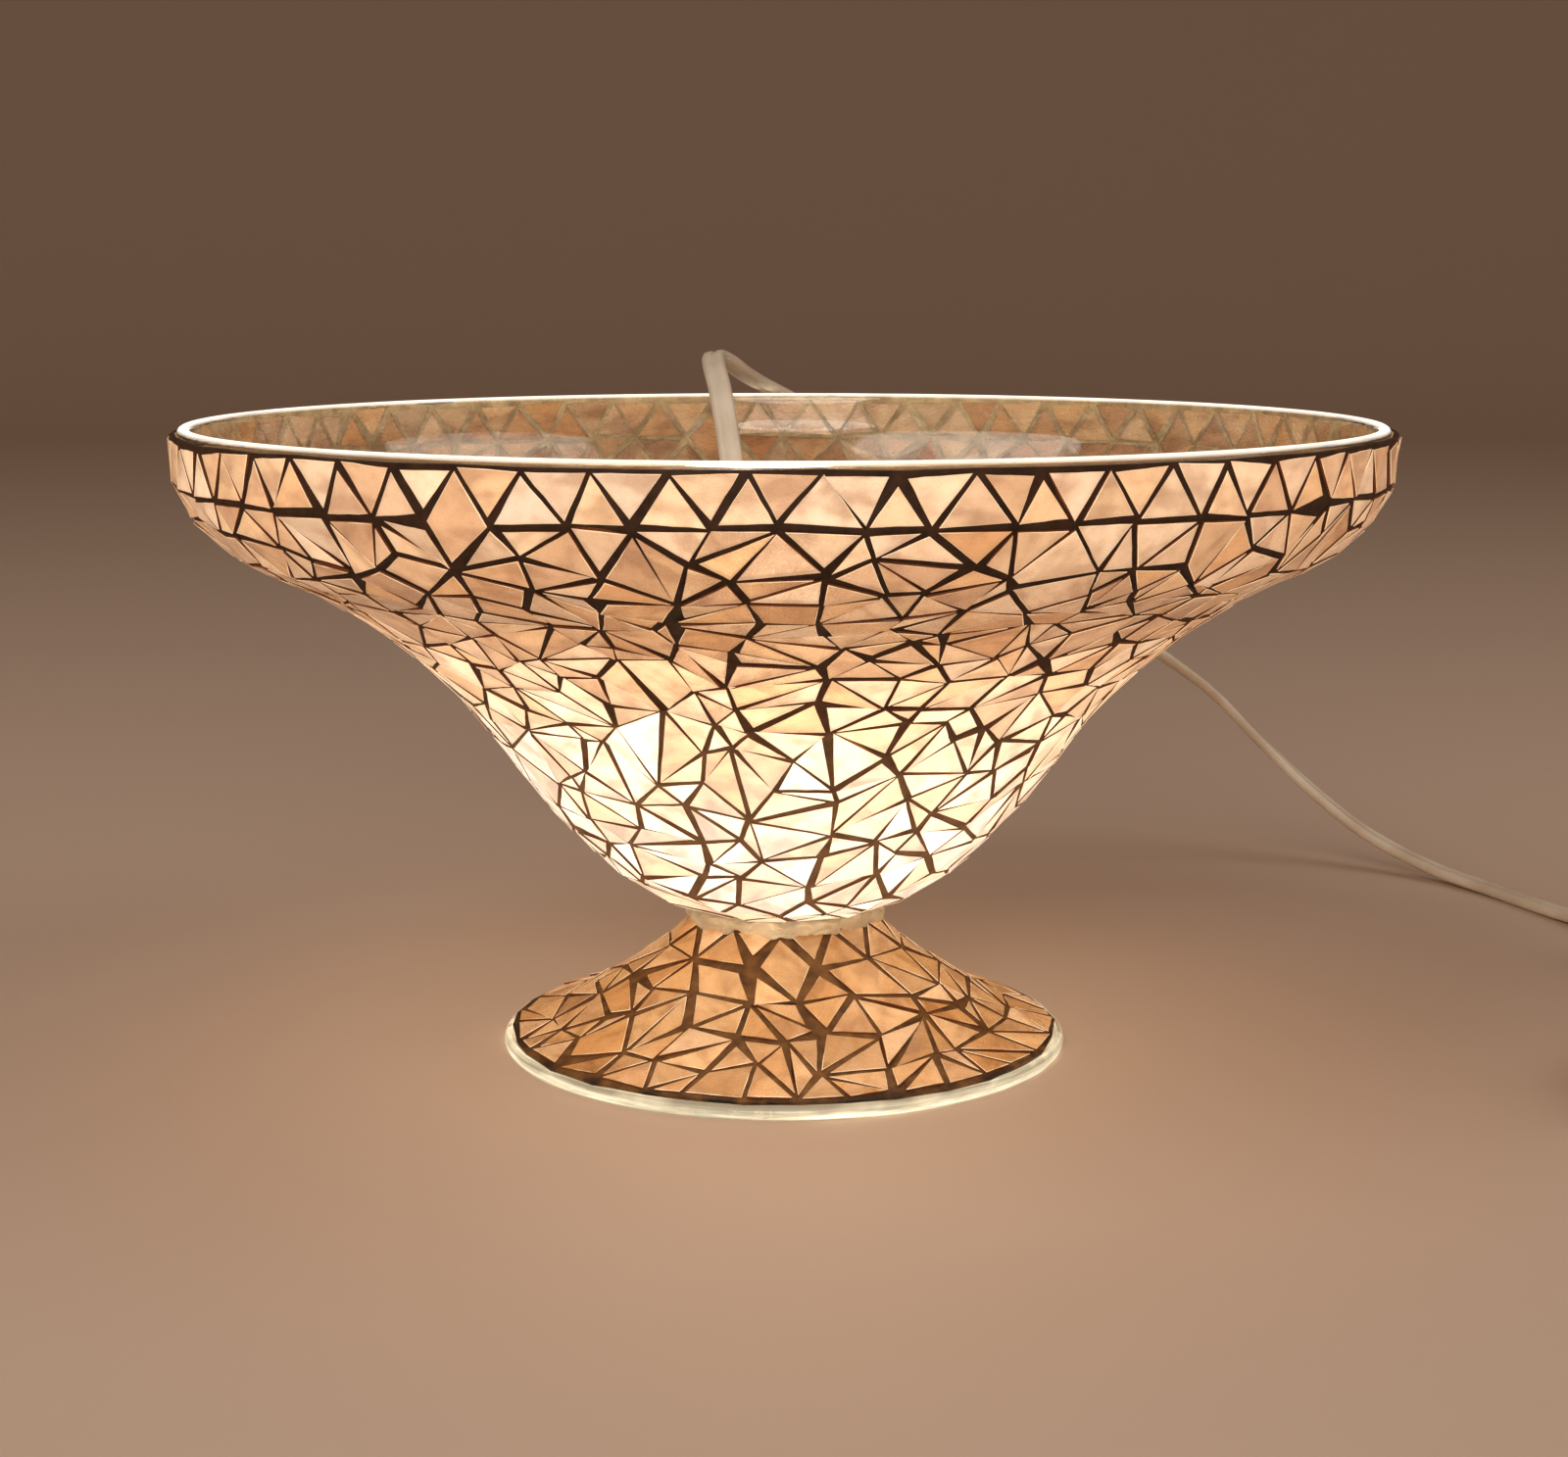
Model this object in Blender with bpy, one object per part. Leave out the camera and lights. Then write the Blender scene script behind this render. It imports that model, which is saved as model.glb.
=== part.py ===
"""Mosaic glass table lamp: a clear glass bowl cemented to a hollow glass foot, both covered outside
with a mosaic of glass chips set in dark grout, with a bulb on a holder in the bottom of the bowl and
a flat two-core cord over the rim, through an in-line rotary switch, to a two-pin plug.

The origin is the centre of the foot on the table. +Z is up, -Y is the front, and the cord leaves to
the back and right."""

import math

import bmesh
import bpy
from mathutils import Vector

MM = 0.001

# Driving dimensions, in metres.
GAP = 0.3 * MM  # between pieces that touch
RIM_RADIUS = 122.9 * MM  # outside of the glass at the top of the mosaic
LAMP_HEIGHT = 132 * MM
FOOT_RADIUS = 59.7 * MM
GLASS_WALL = 2.6 * MM
GROUT_THICK = 0.5 * MM
TILE_THICK = 1.1 * MM
BORDER_HEIGHT = 8.6 * MM  # the even row of triangles under the rim
BOWL_COURSES = 12
FOOT_COURSES = 4
RING_STEPS = 32  # flat faces round the lamp
SMALL_STEPS = 20  # round the lamp holder and the bulb
CORD_WIDTH = 5.6 * MM
CORD_THICK = 2.8 * MM
KIT_X = -5.5 * MM  # the holder is glued in slightly to the left of the middle

# Heights of the bowl and the foot where they are cemented.
FOOT_TOP = 28.4 * MM
BOWL_UNDERSIDE = 31.2 * MM
BOWL_FLOOR = 34.3 * MM

# Outside of the glass, (radius, height) in mm, from the rim down to the neck and from the neck out.
BOWL_OUTLINE = [
    (122.9, 131.0),
    (122.0, 121.0),
    (113.7, 109.7),
    (91.2, 97.8),
    (68.7, 79.5),
    (49.8, 55.2),
    (33.0, 38.0),
    (20.4, 31.9),
]
FOOT_OUTLINE = [(17.6, 27.4), (24.2, 20.4), (36.0, 12.2), (49.1, 4.6), (57.0, 2.2)]
FOOT_BARE_TOP = 3.6 * MM  # glass left for the cement at the top of the foot

# The in-line switch and the wound spare length, on the table at the right.
SWITCH_ENTRY = Vector((0.2110, 0.0660, 0.0065))
SWITCH_HEADING = math.radians(-75)
SWITCH_LENGTH = 54 * MM
COIL_CENTRE = Vector((0.2000, -0.0480, 0))
COIL_RADIUS = 31 * MM
COIL_BOTTOM = 1.3 * MM
COIL_COLUMNS = 4
COIL_LAYERS = 2
COIL_PITCH = 3.1 * MM
PLUG_END = Vector((0.2115, -0.1030, 0.0070))
PLUG_HEADING = math.radians(-166)

# Where the cord runs, in metres: out of the holder, over the rim, down behind the bowl to the table.
LEAD_ROUTE = [
    (-0.0055, 0.0323, 0.0505),
    (-0.0058, 0.0400, 0.0552),
    (-0.0066, 0.0500, 0.0650),
    (-0.0082, 0.0600, 0.0820),
    (-0.0100, 0.0680, 0.1010),
    (-0.0125, 0.0765, 0.1190),
    (-0.0150, 0.0870, 0.1330),
    (-0.0168, 0.0950, 0.1395),
    (-0.0170, 0.1020, 0.1418),
    (-0.0140, 0.1085, 0.1405),
    (-0.0100, 0.1155, 0.1372),
    (-0.0055, 0.1232, 0.1342),
    (0.0010, 0.1315, 0.1305),
    (0.0120, 0.1425, 0.1235),
    (0.0300, 0.1560, 0.1130),
    (0.0500, 0.1670, 0.0970),
    (0.0750, 0.1750, 0.0780),
    (0.1043, 0.1790, 0.0576),
    (0.1185, 0.1800, 0.0472),
    (0.1311, 0.1795, 0.0347),
    (0.1450, 0.1760, 0.0214),
    (0.1600, 0.1675, 0.0098),
    (0.1745, 0.1520, 0.0034),
    (0.1870, 0.1310, 0.0015),
    (0.1965, 0.1070, 0.0015),
    (0.2040, 0.0880, 0.0030),
    (0.2094, 0.0720, 0.0060),
]
TAIL_ROUTE = [
    (0.2251, 0.0136, 0.0065),
    (0.2275, 0.0050, 0.0060),
    (0.2310, -0.0080, 0.0046),
    (0.2342, -0.0220, 0.0042),
    (0.2353, -0.0300, 0.0042),
]
END_ROUTE = [
    (0.2353, -0.0660, 0.0096),
    (0.2337, -0.0780, 0.0086),
    (0.2290, -0.0900, 0.0076),
    (0.2205, -0.0990, 0.0071),
    (0.2118, -0.1029, 0.0070),
]
ROUTE_STEPS = 2  # tube points for each stretch of a route
ON_EDGE_AFTER = 0.5  # share of the tail over which the flat cord turns on its edge


def clear_scene():
    for obj in list(bpy.data.objects):
        bpy.data.objects.remove(obj)


def material(name, colour, roughness, metallic=0.0, clear=0.0):
    made = bpy.data.materials.new(name)
    made.use_nodes = True
    shader = made.node_tree.nodes["Principled BSDF"]
    shader.inputs["Base Color"].default_value = (*colour, 1)
    shader.inputs["Roughness"].default_value = roughness
    shader.inputs["Metallic"].default_value = metallic
    shader.inputs["Transmission Weight"].default_value = clear
    made.diffuse_color = (*colour, 1)
    return made


def add_object(name, mesh, look, parent=None):
    obj = bpy.data.objects.new(name, mesh)
    bpy.context.scene.collection.objects.link(obj)
    mesh.materials.append(look)
    obj.parent = parent
    return obj


def empty(name, place, turn=0.0, parent=None):
    obj = bpy.data.objects.new(name, None)
    bpy.context.scene.collection.objects.link(obj)
    obj.location = place
    obj.rotation_euler.z = turn
    obj.parent = parent
    return obj


def finish_mesh(work, name, smooth_angle=None):
    """Closes the bmesh into a mesh whose faces point out."""
    bmesh.ops.remove_doubles(work, verts=work.verts, dist=1e-6)
    bmesh.ops.recalc_face_normals(work, faces=work.faces)
    mesh = bpy.data.meshes.new(name)
    work.to_mesh(mesh)
    work.free()
    if smooth_angle is not None:
        mesh.shade_smooth()
        mesh.set_sharp_from_angle(angle=math.radians(smooth_angle))
    return mesh


def turned(name, section, look, steps=SMALL_STEPS, parent=None, closed=True, smooth_angle=35):
    """A section of (radius, height) points spun round Z. An open section starts and ends on the axis."""
    work = bmesh.new()
    ring = [work.verts.new((radius, 0, height)) for radius, height in section]
    edges = [work.edges.new(pair) for pair in zip(ring, ring[1:])]
    if closed:
        edges.append(work.edges.new((ring[-1], ring[0])))
    bmesh.ops.spin(
        work,
        geom=ring + edges,
        cent=(0, 0, 0),
        axis=(0, 0, 1),
        angle=math.tau,
        steps=steps,
        use_merge=True,
    )
    return add_object(name, finish_mesh(work, name, smooth_angle), look, parent)


def prism(name, outline, bottom, top, look, parent=None, smooth_angle=40):
    """An outline of (x, y) points standing from bottom to top."""
    work = bmesh.new()
    face = work.faces.new([work.verts.new((x, y, bottom)) for x, y in outline])
    raised = bmesh.ops.extrude_face_region(work, geom=[face])["geom"]
    lifted = [item for item in raised if isinstance(item, bmesh.types.BMVert)]
    bmesh.ops.translate(work, verts=lifted, vec=(0, 0, top - bottom))
    return add_object(name, finish_mesh(work, name, smooth_angle), look, parent)


def block(name, size, centre, look, parent=None):
    half_x, half_y, half_z = (side / 2 for side in size)
    corners = [(-half_x, -half_y), (half_x, -half_y), (half_x, half_y), (-half_x, half_y)]
    outline = [(centre[0] + x, centre[1] + y) for x, y in corners]
    return prism(name, outline, centre[2] - half_z, centre[2] + half_z, look, parent)


def circle(radius, points, centre=(0, 0)):
    angles = [math.tau * step / points for step in range(points)]
    return [(centre[0] + radius * math.cos(a), centre[1] + radius * math.sin(a)) for a in angles]


def cut(target, cutter):
    """Cuts a piece with a helper, which stays hidden."""
    cutter.hide_render = True
    cutter.display_type = "WIRE"
    change = target.modifiers.new(cutter.name, "BOOLEAN")
    change.object = cutter
    change.operation = "DIFFERENCE"
    change.solver = "EXACT"


def soften(obj, width, segments=2, angle=40):
    bevel = obj.modifiers.new("soft_edges", "BEVEL")
    bevel.width = width
    bevel.segments = segments
    bevel.limit_method = "ANGLE"
    bevel.angle_limit = math.radians(angle)


def smooth_curve(points, steps):
    """Catmull-Rom curve through the points, which may be 2-D or 3-D."""
    given = [Vector(point) for point in points]
    ends = [2 * given[0] - given[1]] + given + [2 * given[-1] - given[-2]]
    curve = []
    for before, start, end, after in zip(ends, ends[1:], ends[2:], ends[3:]):
        for step in range(steps):
            t = step / steps
            curve.append(
                0.5
                * (
                    2 * start
                    + (end - before) * t
                    + (2 * before - 5 * start + 4 * end - after) * t**2
                    + (3 * start - before - 3 * end + after) * t**3
                )
            )
    return curve + [given[-1]]


def points_along(curve, distances):
    """The points of a curve that lie these distances from its start."""
    found = []
    for distance in distances:
        left = distance
        for start, end in zip(curve, curve[1:]):
            length = (end - start).length
            if left <= length or end is curve[-1]:
                found.append(start.lerp(end, min(left / length, 1)))
                break
            left -= length
    return found


def length_of(curve):
    return sum((end - start).length for start, end in zip(curve, curve[1:]))


def offset(line, distance):
    """The line moved to its left by a distance, with mitred corners, so that its faces stay parallel."""
    steps = [(end - start).normalized() for start, end in zip(line, line[1:])]
    sides = [Vector((-step.y, step.x)) for step in steps]
    sides = [sides[0]] + sides + [sides[-1]]
    moved = []
    for point, left, right in zip(line, sides, sides[1:]):
        mitre = (left + right).normalized()
        moved.append(point + mitre * (distance / mitre.dot(right)))
    return moved


def mosaic_line(outline, start, first, courses):
    """Where the courses of a glass outline meet: the first at its own height, the rest alike."""
    curve = smooth_curve([(radius * MM, height * MM) for radius, height in outline], 16)
    rest = (length_of(curve) - start - first) / (courses - 1)
    return points_along(curve, [start] + [start + first + rest * step for step in range(courses)])


def pairs(points):
    return [(point.x, point.y) for point in points]


def add_courses(prefix, line, outward, look, first_name=None):
    """One ring of chips for each stretch of the line, with a grout joint between rings."""
    near = outward * (2 * GAP + GROUT_THICK)
    inner = offset(line, near)
    outer = offset(line, near + outward * TILE_THICK)
    for course in range(len(line) - 1):
        along = (line[course + 1] - line[course]).normalized() * (GAP / 2)
        section = [
            inner[course] + along,
            inner[course + 1] - along,
            outer[course + 1] - along,
            outer[course] + along,
        ]
        name = first_name if first_name and course == 0 else f"{prefix}_{course + 1:02d}"
        turned(name, pairs(section), look, RING_STEPS, smooth_angle=5)


def add_grout(name, line, outward, look):
    inner = offset(line, outward * GAP)
    outer = offset(line, outward * (GAP + GROUT_THICK))
    turned(name, pairs(inner + outer[::-1]), look, RING_STEPS, smooth_angle=5)


def add_bowl(looks):
    line = mosaic_line(BOWL_OUTLINE, 0, BORDER_HEIGHT, BOWL_COURSES)
    inside = offset(line, -GLASS_WALL)
    lip = [
        (RIM_RADIUS - GLASS_WALL, LAMP_HEIGHT - 0.7 * MM),
        (RIM_RADIUS - 0.7 * GLASS_WALL, LAMP_HEIGHT),
        (RIM_RADIUS - 0.3 * GLASS_WALL, LAMP_HEIGHT),
        (RIM_RADIUS, LAMP_HEIGHT - 0.6 * MM),
    ]
    section = [(0, BOWL_FLOOR), (18.6 * MM, BOWL_FLOOR)] + pairs(inside[::-1])
    section += lip + pairs(line) + [(18.4 * MM, BOWL_UNDERSIDE), (0, BOWL_UNDERSIDE)]
    turned("bowl_glass", section, looks["clear_glass"], RING_STEPS, closed=False)
    add_grout("bowl_grout", line, 1, looks["grout"])
    add_courses("bowl_tiles_course", line, 1, looks["bowl_tiles"], "rim_border_tiles")


def add_foot(looks):
    whole = [Vector(point) * MM for point in FOOT_OUTLINE]
    line = mosaic_line(FOOT_OUTLINE, FOOT_BARE_TOP, 11 * MM, FOOT_COURSES)
    inside = offset(line[:-1], -GLASS_WALL)
    edge = [
        (58.3 * MM, 3.0 * MM),
        (59.3 * MM, 2.6 * MM),
        (FOOT_RADIUS, 1.5 * MM),
        (59.4 * MM, 0.4 * MM),
        (58.6 * MM, 0),
        (52.5 * MM, 0),
    ]
    section = [(0, FOOT_TOP), (16.8 * MM, FOOT_TOP)] + pairs([whole[0]] + line) + edge
    section += pairs(inside[::-1]) + [(15.6 * MM, 25.2 * MM), (0, 25.2 * MM)]
    turned("foot_glass", section, looks["clear_glass"], RING_STEPS, closed=False)
    add_grout("foot_grout", line, 1, looks["foot_grout"])
    add_courses("foot_tiles_course", line, 1, looks["foot_tiles"])


def add_neck(looks):
    section = [
        (0, FOOT_TOP + GAP),
        (17.2, 28.7),
        (19.0, 27.2),
        (20.2, 26.9),
        (21.0, 27.8),
        (20.4, 29.2),
        (19.7, 30.3),
        (18.0, 30.9),
    ]
    section = [section[0]] + [(radius * MM, height * MM) for radius, height in section[1:]]
    section.append((0, BOWL_UNDERSIDE - GAP))
    turned("neck_cement", section, looks["cement"], RING_STEPS, closed=False)


def kit_section(points):
    return [(radius * MM, height * MM) for radius, height in points]


def add_holder(looks, kit):
    def piece(name, points, look, closed=True, steps=SMALL_STEPS):
        return turned(name, kit_section(points), looks[look], steps, kit, closed)

    piece("holder_pad", [(0, 34.6), (12.3, 34.6), (12.3, 36.0), (0, 36.0)], "adhesive", False)
    cup = [(0, 36.3), (12.2, 36.3), (13.0, 37.1), (13.0, 44.5), (12.2, 45.3), (10.2, 45.3)]
    base = piece("holder_base", cup + [(10.2, 38.8), (0, 38.8)], "phenolic", False)
    shell = [(11.0, 45.6), (11.5, 46.1), (11.5, 55.2), (10.3, 56.4), (8.0, 56.4), (7.5, 55.9)]
    piece("holder_shell", shell + [(7.5, 47.0), (4.5, 47.0), (4.5, 45.6)], "phenolic")
    piece("contact_washer", [(1.6, 47.3), (7.2, 47.3), (7.2, 48.1), (1.6, 48.1)], "fibre")
    rivet = [(0, 46.0), (1.2, 46.0), (1.2, 48.4), (3.2, 48.4), (2.2, 49.1), (0, 49.2)]
    piece("centre_contact", rivet, "brass", False, 16)
    sleeve = [(6.4, 48.4), (6.8, 48.4), (6.8, 54.8), (7.2, 55.2), (7.2, 56.0), (6.4, 56.0)]
    piece("screw_shell", sleeve, "brass")

    for side, name in ((-1, "live"), (1, "neutral")):
        place = (side * 5.2 * MM, -2 * MM)
        size, middle = (4.6 * MM, 5 * MM, 2.4 * MM), (*place, 40.3 * MM)
        terminal = block(f"terminal_{name}", size, middle, looks["brass"], kit)
        hole = circle(1.15 * MM, 12, place)
        cut(terminal, prism(f"terminal_hole_{name}", hole, 39.5 * MM, 42 * MM, looks["brass"], kit))
        points = [(0, 39.8), (0.8, 39.8), (0.8, 41.8), (1.8, 41.8), (1.7, 43.0), (0, 43.2)]
        section = kit_section(points)
        screw = turned(f"terminal_screw_{name}", section, looks["steel"], 12, kit, closed=False)
        screw.location = (*place, 0)

    relief = empty("relief_axis", (0, 12.0 * MM, 41.0 * MM), parent=kit)
    relief.rotation_euler.x = math.radians(-65)  # tilts +Z over towards the back, 25 degrees up
    sleeve = [(0, -2.0), (2.7, -2.0), (2.7, 3.0)]
    for rib in range(4):
        start = 4.6 + rib * 3.6
        sleeve += [(3.0 - 0.2 * rib, start), (3.0 - 0.2 * rib, start + 1.8)]
        sleeve += [(2.5 - 0.15 * rib, start + 2.2), (2.5 - 0.15 * rib, start + 3.0)]
    sleeve += [(1.9, 21.5), (1.5, 22.0), (0, 22.0)]
    turned("cord_relief", kit_section(sleeve), looks["ivory"], 12, relief, closed=False)
    bore = [(0, -2.6), (3.0, -2.6), (3.0, 6.0), (0, 6.0)]
    cut(base, turned("relief_hole", kit_section(bore), looks["ivory"], 16, relief, closed=False))


def add_bulb(looks, kit):
    def piece(name, points, look, closed=True, steps=SMALL_STEPS):
        return turned(name, kit_section(points), looks[look], steps, kit, closed)

    piece("bulb_contact", [(0, 49.5), (1.6, 49.6), (2.1, 50.3), (0, 50.3)], "steel", False, 16)
    piece("bulb_insulator", [(0, 50.6), (3.0, 50.6), (4.5, 52.2), (0, 52.2)], "black_glass", False)
    thread = [(5.65 + 0.25 * math.cos(math.pi * turn), 53.4 + 1.27 * turn) for turn in range(7)]
    cap = [(4.0, 52.5), (4.9, 52.5)] + thread + [(5.9, 62.6), (6.6, 63.6)]
    piece("bulb_cap", cap + [(6.2, 63.8), (5.1, 62.4), (5.1, 53.2), (4.0, 53.0)], "brass")
    outside = [(4.8, 57.0), (4.8, 63.4), (5.6, 65.6), (9.0, 69.6), (13.2, 74.2), (15.8, 78.9)]
    outside += [(16.5, 83.5), (15.6, 88.8), (12.6, 93.8), (7.4, 97.6), (0, 99.2)]
    globe = [Vector(point) for point in outside]
    inside = [point for point in offset(globe, 0.7)[::-1]]
    inside[0] = Vector((0, outside[-1][1] - 0.7))
    section = pairs(inside + globe)
    piece("bulb_glass", section, "opal", False)
    stem = [(0, 57.4), (3.7, 57.4), (2.6, 60.4), (1.6, 63.5), (1.6, 70), (2.3, 71.5), (1.5, 73)]
    piece("bulb_stem", stem + [(0, 73.4)], "clear_glass", False, 12)

    wire = [(-1.8, 73.8), (-5.5, 79), (-6.5, 82), (-4, 83.5), (-2, 82.6), (0, 84), (2, 82.6)]
    wire += [(4, 83.5), (6.5, 82), (5.5, 79), (1.8, 73.8)]
    route = smooth_curve([(x * MM, 0, z * MM) for x, z in wire], 3)
    tube("bulb_filament", route, 0.3 * MM, 0, looks["steel"], kit, 1)


def tube(name, route, depth, widen, look, parent=None, sides=2, tilts=None):
    """A cord or wire along a route. Its wide side lies level where the tilt is a quarter turn."""
    curve = bpy.data.curves.new(name, "CURVE")
    curve.dimensions = "3D"
    curve.fill_mode = "FULL"
    curve.twist_mode = "Z_UP"
    curve.bevel_depth = depth
    curve.extrude = widen
    curve.bevel_resolution = sides
    curve.use_fill_caps = True
    curve.materials.append(look)
    spline = curve.splines.new("POLY")
    spline.points.add(len(route) - 1)
    for index, (point, place) in enumerate(zip(spline.points, route)):
        point.co = (*place, 1)
        point.tilt = tilts[index] if tilts else math.pi / 2
    obj = bpy.data.objects.new(name, curve)
    bpy.context.scene.collection.objects.link(obj)
    obj.parent = parent
    return obj


def add_cord(looks):
    def run(name, points, edge_start, edge_end):
        route = smooth_curve(points, ROUTE_STEPS)
        last = len(route) - 1
        tilts = []
        for index in range(last + 1):
            share = edge_start + (edge_end - edge_start) * min(index / (last * ON_EDGE_AFTER), 1)
            tilts.append(math.pi / 2 * (1 - share))
        depth = CORD_THICK / 2
        tube(name, route, depth, CORD_WIDTH / 2 - depth, looks["cord"], tilts=tilts)

    run("cord_lead", LEAD_ROUTE, 0, 0)
    run("cord_tail", TAIL_ROUTE, 0, 1)
    run("cord_end", END_ROUTE, 1, 0)

    half_width = (COIL_COLUMNS - 1) * COIL_PITCH / 2 + CORD_THICK / 2
    low = COIL_BOTTOM
    high = COIL_BOTTOM + COIL_LAYERS * CORD_WIDTH + 0.2 * MM
    near, far = COIL_RADIUS - half_width, COIL_RADIUS + half_width
    bevel = 1.2 * MM
    section = [(near + bevel, low), (far - bevel, low), (far, low + bevel), (far, high - bevel)]
    section += [(far - bevel, high), (near + bevel, high), (near, high - bevel), (near, low + bevel)]
    coil = turned("cord_coil", section, looks["cord"], 40)
    coil.location = COIL_CENTRE

    tie_angle = math.radians(200)
    tie_place = COIL_CENTRE + COIL_RADIUS * Vector((math.cos(tie_angle), math.sin(tie_angle), 0))
    axis = empty("tie_axis", tie_place, tie_angle)
    wall, slack, tie_width = 0.9 * MM, 0.6 * MM, 7 * MM
    inner_half = half_width + slack
    outer_half = inner_half + wall
    bottom, top = low - GAP - wall - 0.1 * MM, high + GAP + wall
    size = (2 * outer_half, tie_width, top - bottom)
    tie = block("coil_tie", size, (0, 0, (bottom + top) / 2), looks["tie"], axis)
    soften(tie, 0.5 * MM, 1)
    hole = (2 * inner_half, 2 * tie_width, top - bottom - 2 * wall)
    cut(tie, block("tie_hole", hole, (0, 0, (bottom + top) / 2), looks["tie"], axis))


def oval(length, width, power=3.0, points=28):
    """A rounded outline between an ellipse and a rectangle."""
    outline = []
    for x, y in circle(1, points):
        outline.append(
            (
                math.copysign(abs(x) ** (2 / power), x) * length / 2,
                math.copysign(abs(y) ** (2 / power), y) * width / 2,
            )
        )
    return outline


def add_switch(looks):
    """A thumbwheel switch on the cord. Its +X runs on along the cord, and its wheel turns about +Z."""
    heading = Vector((math.cos(SWITCH_HEADING), math.sin(SWITCH_HEADING), 0))
    centre = SWITCH_ENTRY + heading * (SWITCH_LENGTH / 2)
    axis = empty("switch_axis", (centre.x, centre.y, 0), SWITCH_HEADING)
    width, height, wall, split = 23 * MM, 16 * MM, 1.8 * MM, 8 * MM
    wheel_y, wheel_radius, wheel_low, wheel_high = 4.6 * MM, 10.6 * MM, 5.8 * MM, 10.2 * MM

    outline = oval(SWITCH_LENGTH, width)
    hollow = oval(SWITCH_LENGTH - 2 * wall, width - 2 * wall)
    base = prism("switch_base", outline, 0, split - GAP / 2, looks["ivory"], axis)
    cover = prism("switch_cover", outline, split + GAP / 2, height, looks["ivory"], axis)
    soften(base, 1.2 * MM, 1, 60)
    soften(cover, 1.6 * MM, 2, 60)
    slot = circle(wheel_radius + 0.5 * MM, 24, (0, wheel_y))
    cord_hole = (2 * SWITCH_LENGTH, CORD_WIDTH + 2 * GAP, CORD_THICK + 2 * GAP)
    screw_at = (-16.5 * MM, 0)
    play = 0.5 * MM
    above = height + 4 * MM
    for half, name in ((base, "base"), (cover, "cover")):
        cut(half, prism(f"room_{name}", hollow, wall, height - wall, looks["ivory"], axis))
        low, high = wheel_low - play, wheel_high + play
        cut(half, prism(f"slot_{name}", slot, low, high, looks["ivory"], axis))
        cut(half, block(f"way_{name}", cord_hole, (0, 0, SWITCH_ENTRY.z), looks["ivory"], axis))
    shank, head = circle(1.6 * MM, 12, screw_at), circle(2.9 * MM, 12, screw_at)
    cut(cover, prism("screw_hole", shank, 12 * MM, above, looks["ivory"], axis))
    cut(cover, prism("screw_seat", head, 14.9 * MM, above, looks["ivory"], axis))

    rim = []
    for index, (x, y) in enumerate(circle(1, 40)):
        reach = wheel_radius - (0.45 * MM if index % 2 else 0)
        rim.append((x * reach, y * reach + wheel_y))
    wheel = prism("switch_wheel", rim, wheel_low, wheel_high, looks["brown_plastic"], axis)
    bore = circle(1.9 * MM, 16, (0, wheel_y))
    cut(wheel, prism("wheel_bore", bore, 0, height, looks["brown_plastic"], axis))
    pin = circle(1.5 * MM, 12, (0, wheel_y))
    prism("switch_axle", pin, wall + GAP, height - wall - GAP, looks["brass"], axis)
    contact = (9 * MM, 3 * MM, 0.6 * MM)
    block("switch_contact", contact, (10 * MM, -6 * MM, 3.4 * MM), looks["brass"], axis)
    screw = [(0, 9.0), (1.2, 9.0), (1.2, 15.2), (2.5, 15.2), (2.3, 15.9), (0, 16.0)]
    made = turned("switch_screw", kit_section(screw), looks["steel"], 12, axis, closed=False)
    made.location = (*screw_at, 0)


def add_plug(looks):
    """A flat two-pin plug lying on the table. Its +X points from the cord to the blades."""
    axis = empty("plug_axis", (PLUG_END.x, PLUG_END.y, 0), PLUG_HEADING)
    body_start, body_length, body_width, body_height = 0.6 * MM, 27 * MM, 23 * MM, 14 * MM
    outline = [
        (body_start, -3.6 * MM),
        (body_start + 9 * MM, -4.6 * MM),
        (body_start + 14 * MM, -9.5 * MM),
        (body_start + 18 * MM, -body_width / 2),
        (body_start + body_length, -body_width / 2),
    ]
    outline += [(x, -y) for x, y in outline[::-1]]
    body = prism("plug_body", outline, 0, body_height, looks["ivory"], axis)
    soften(body, 1.6 * MM, 2)
    for side, name, wide in ((-1, "live", 6.35 * MM), (1, "neutral", 7.9 * MM)):
        start, long, thick = body_start + body_length + GAP, 16.5 * MM, 1.5 * MM
        place = (start + long / 2, side * 6.35 * MM, body_height / 2)
        blade = block(f"plug_blade_{name}", (long, thick, wide), place, looks["brass"], axis)
        soften(blade, 0.5 * MM, 1)


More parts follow.
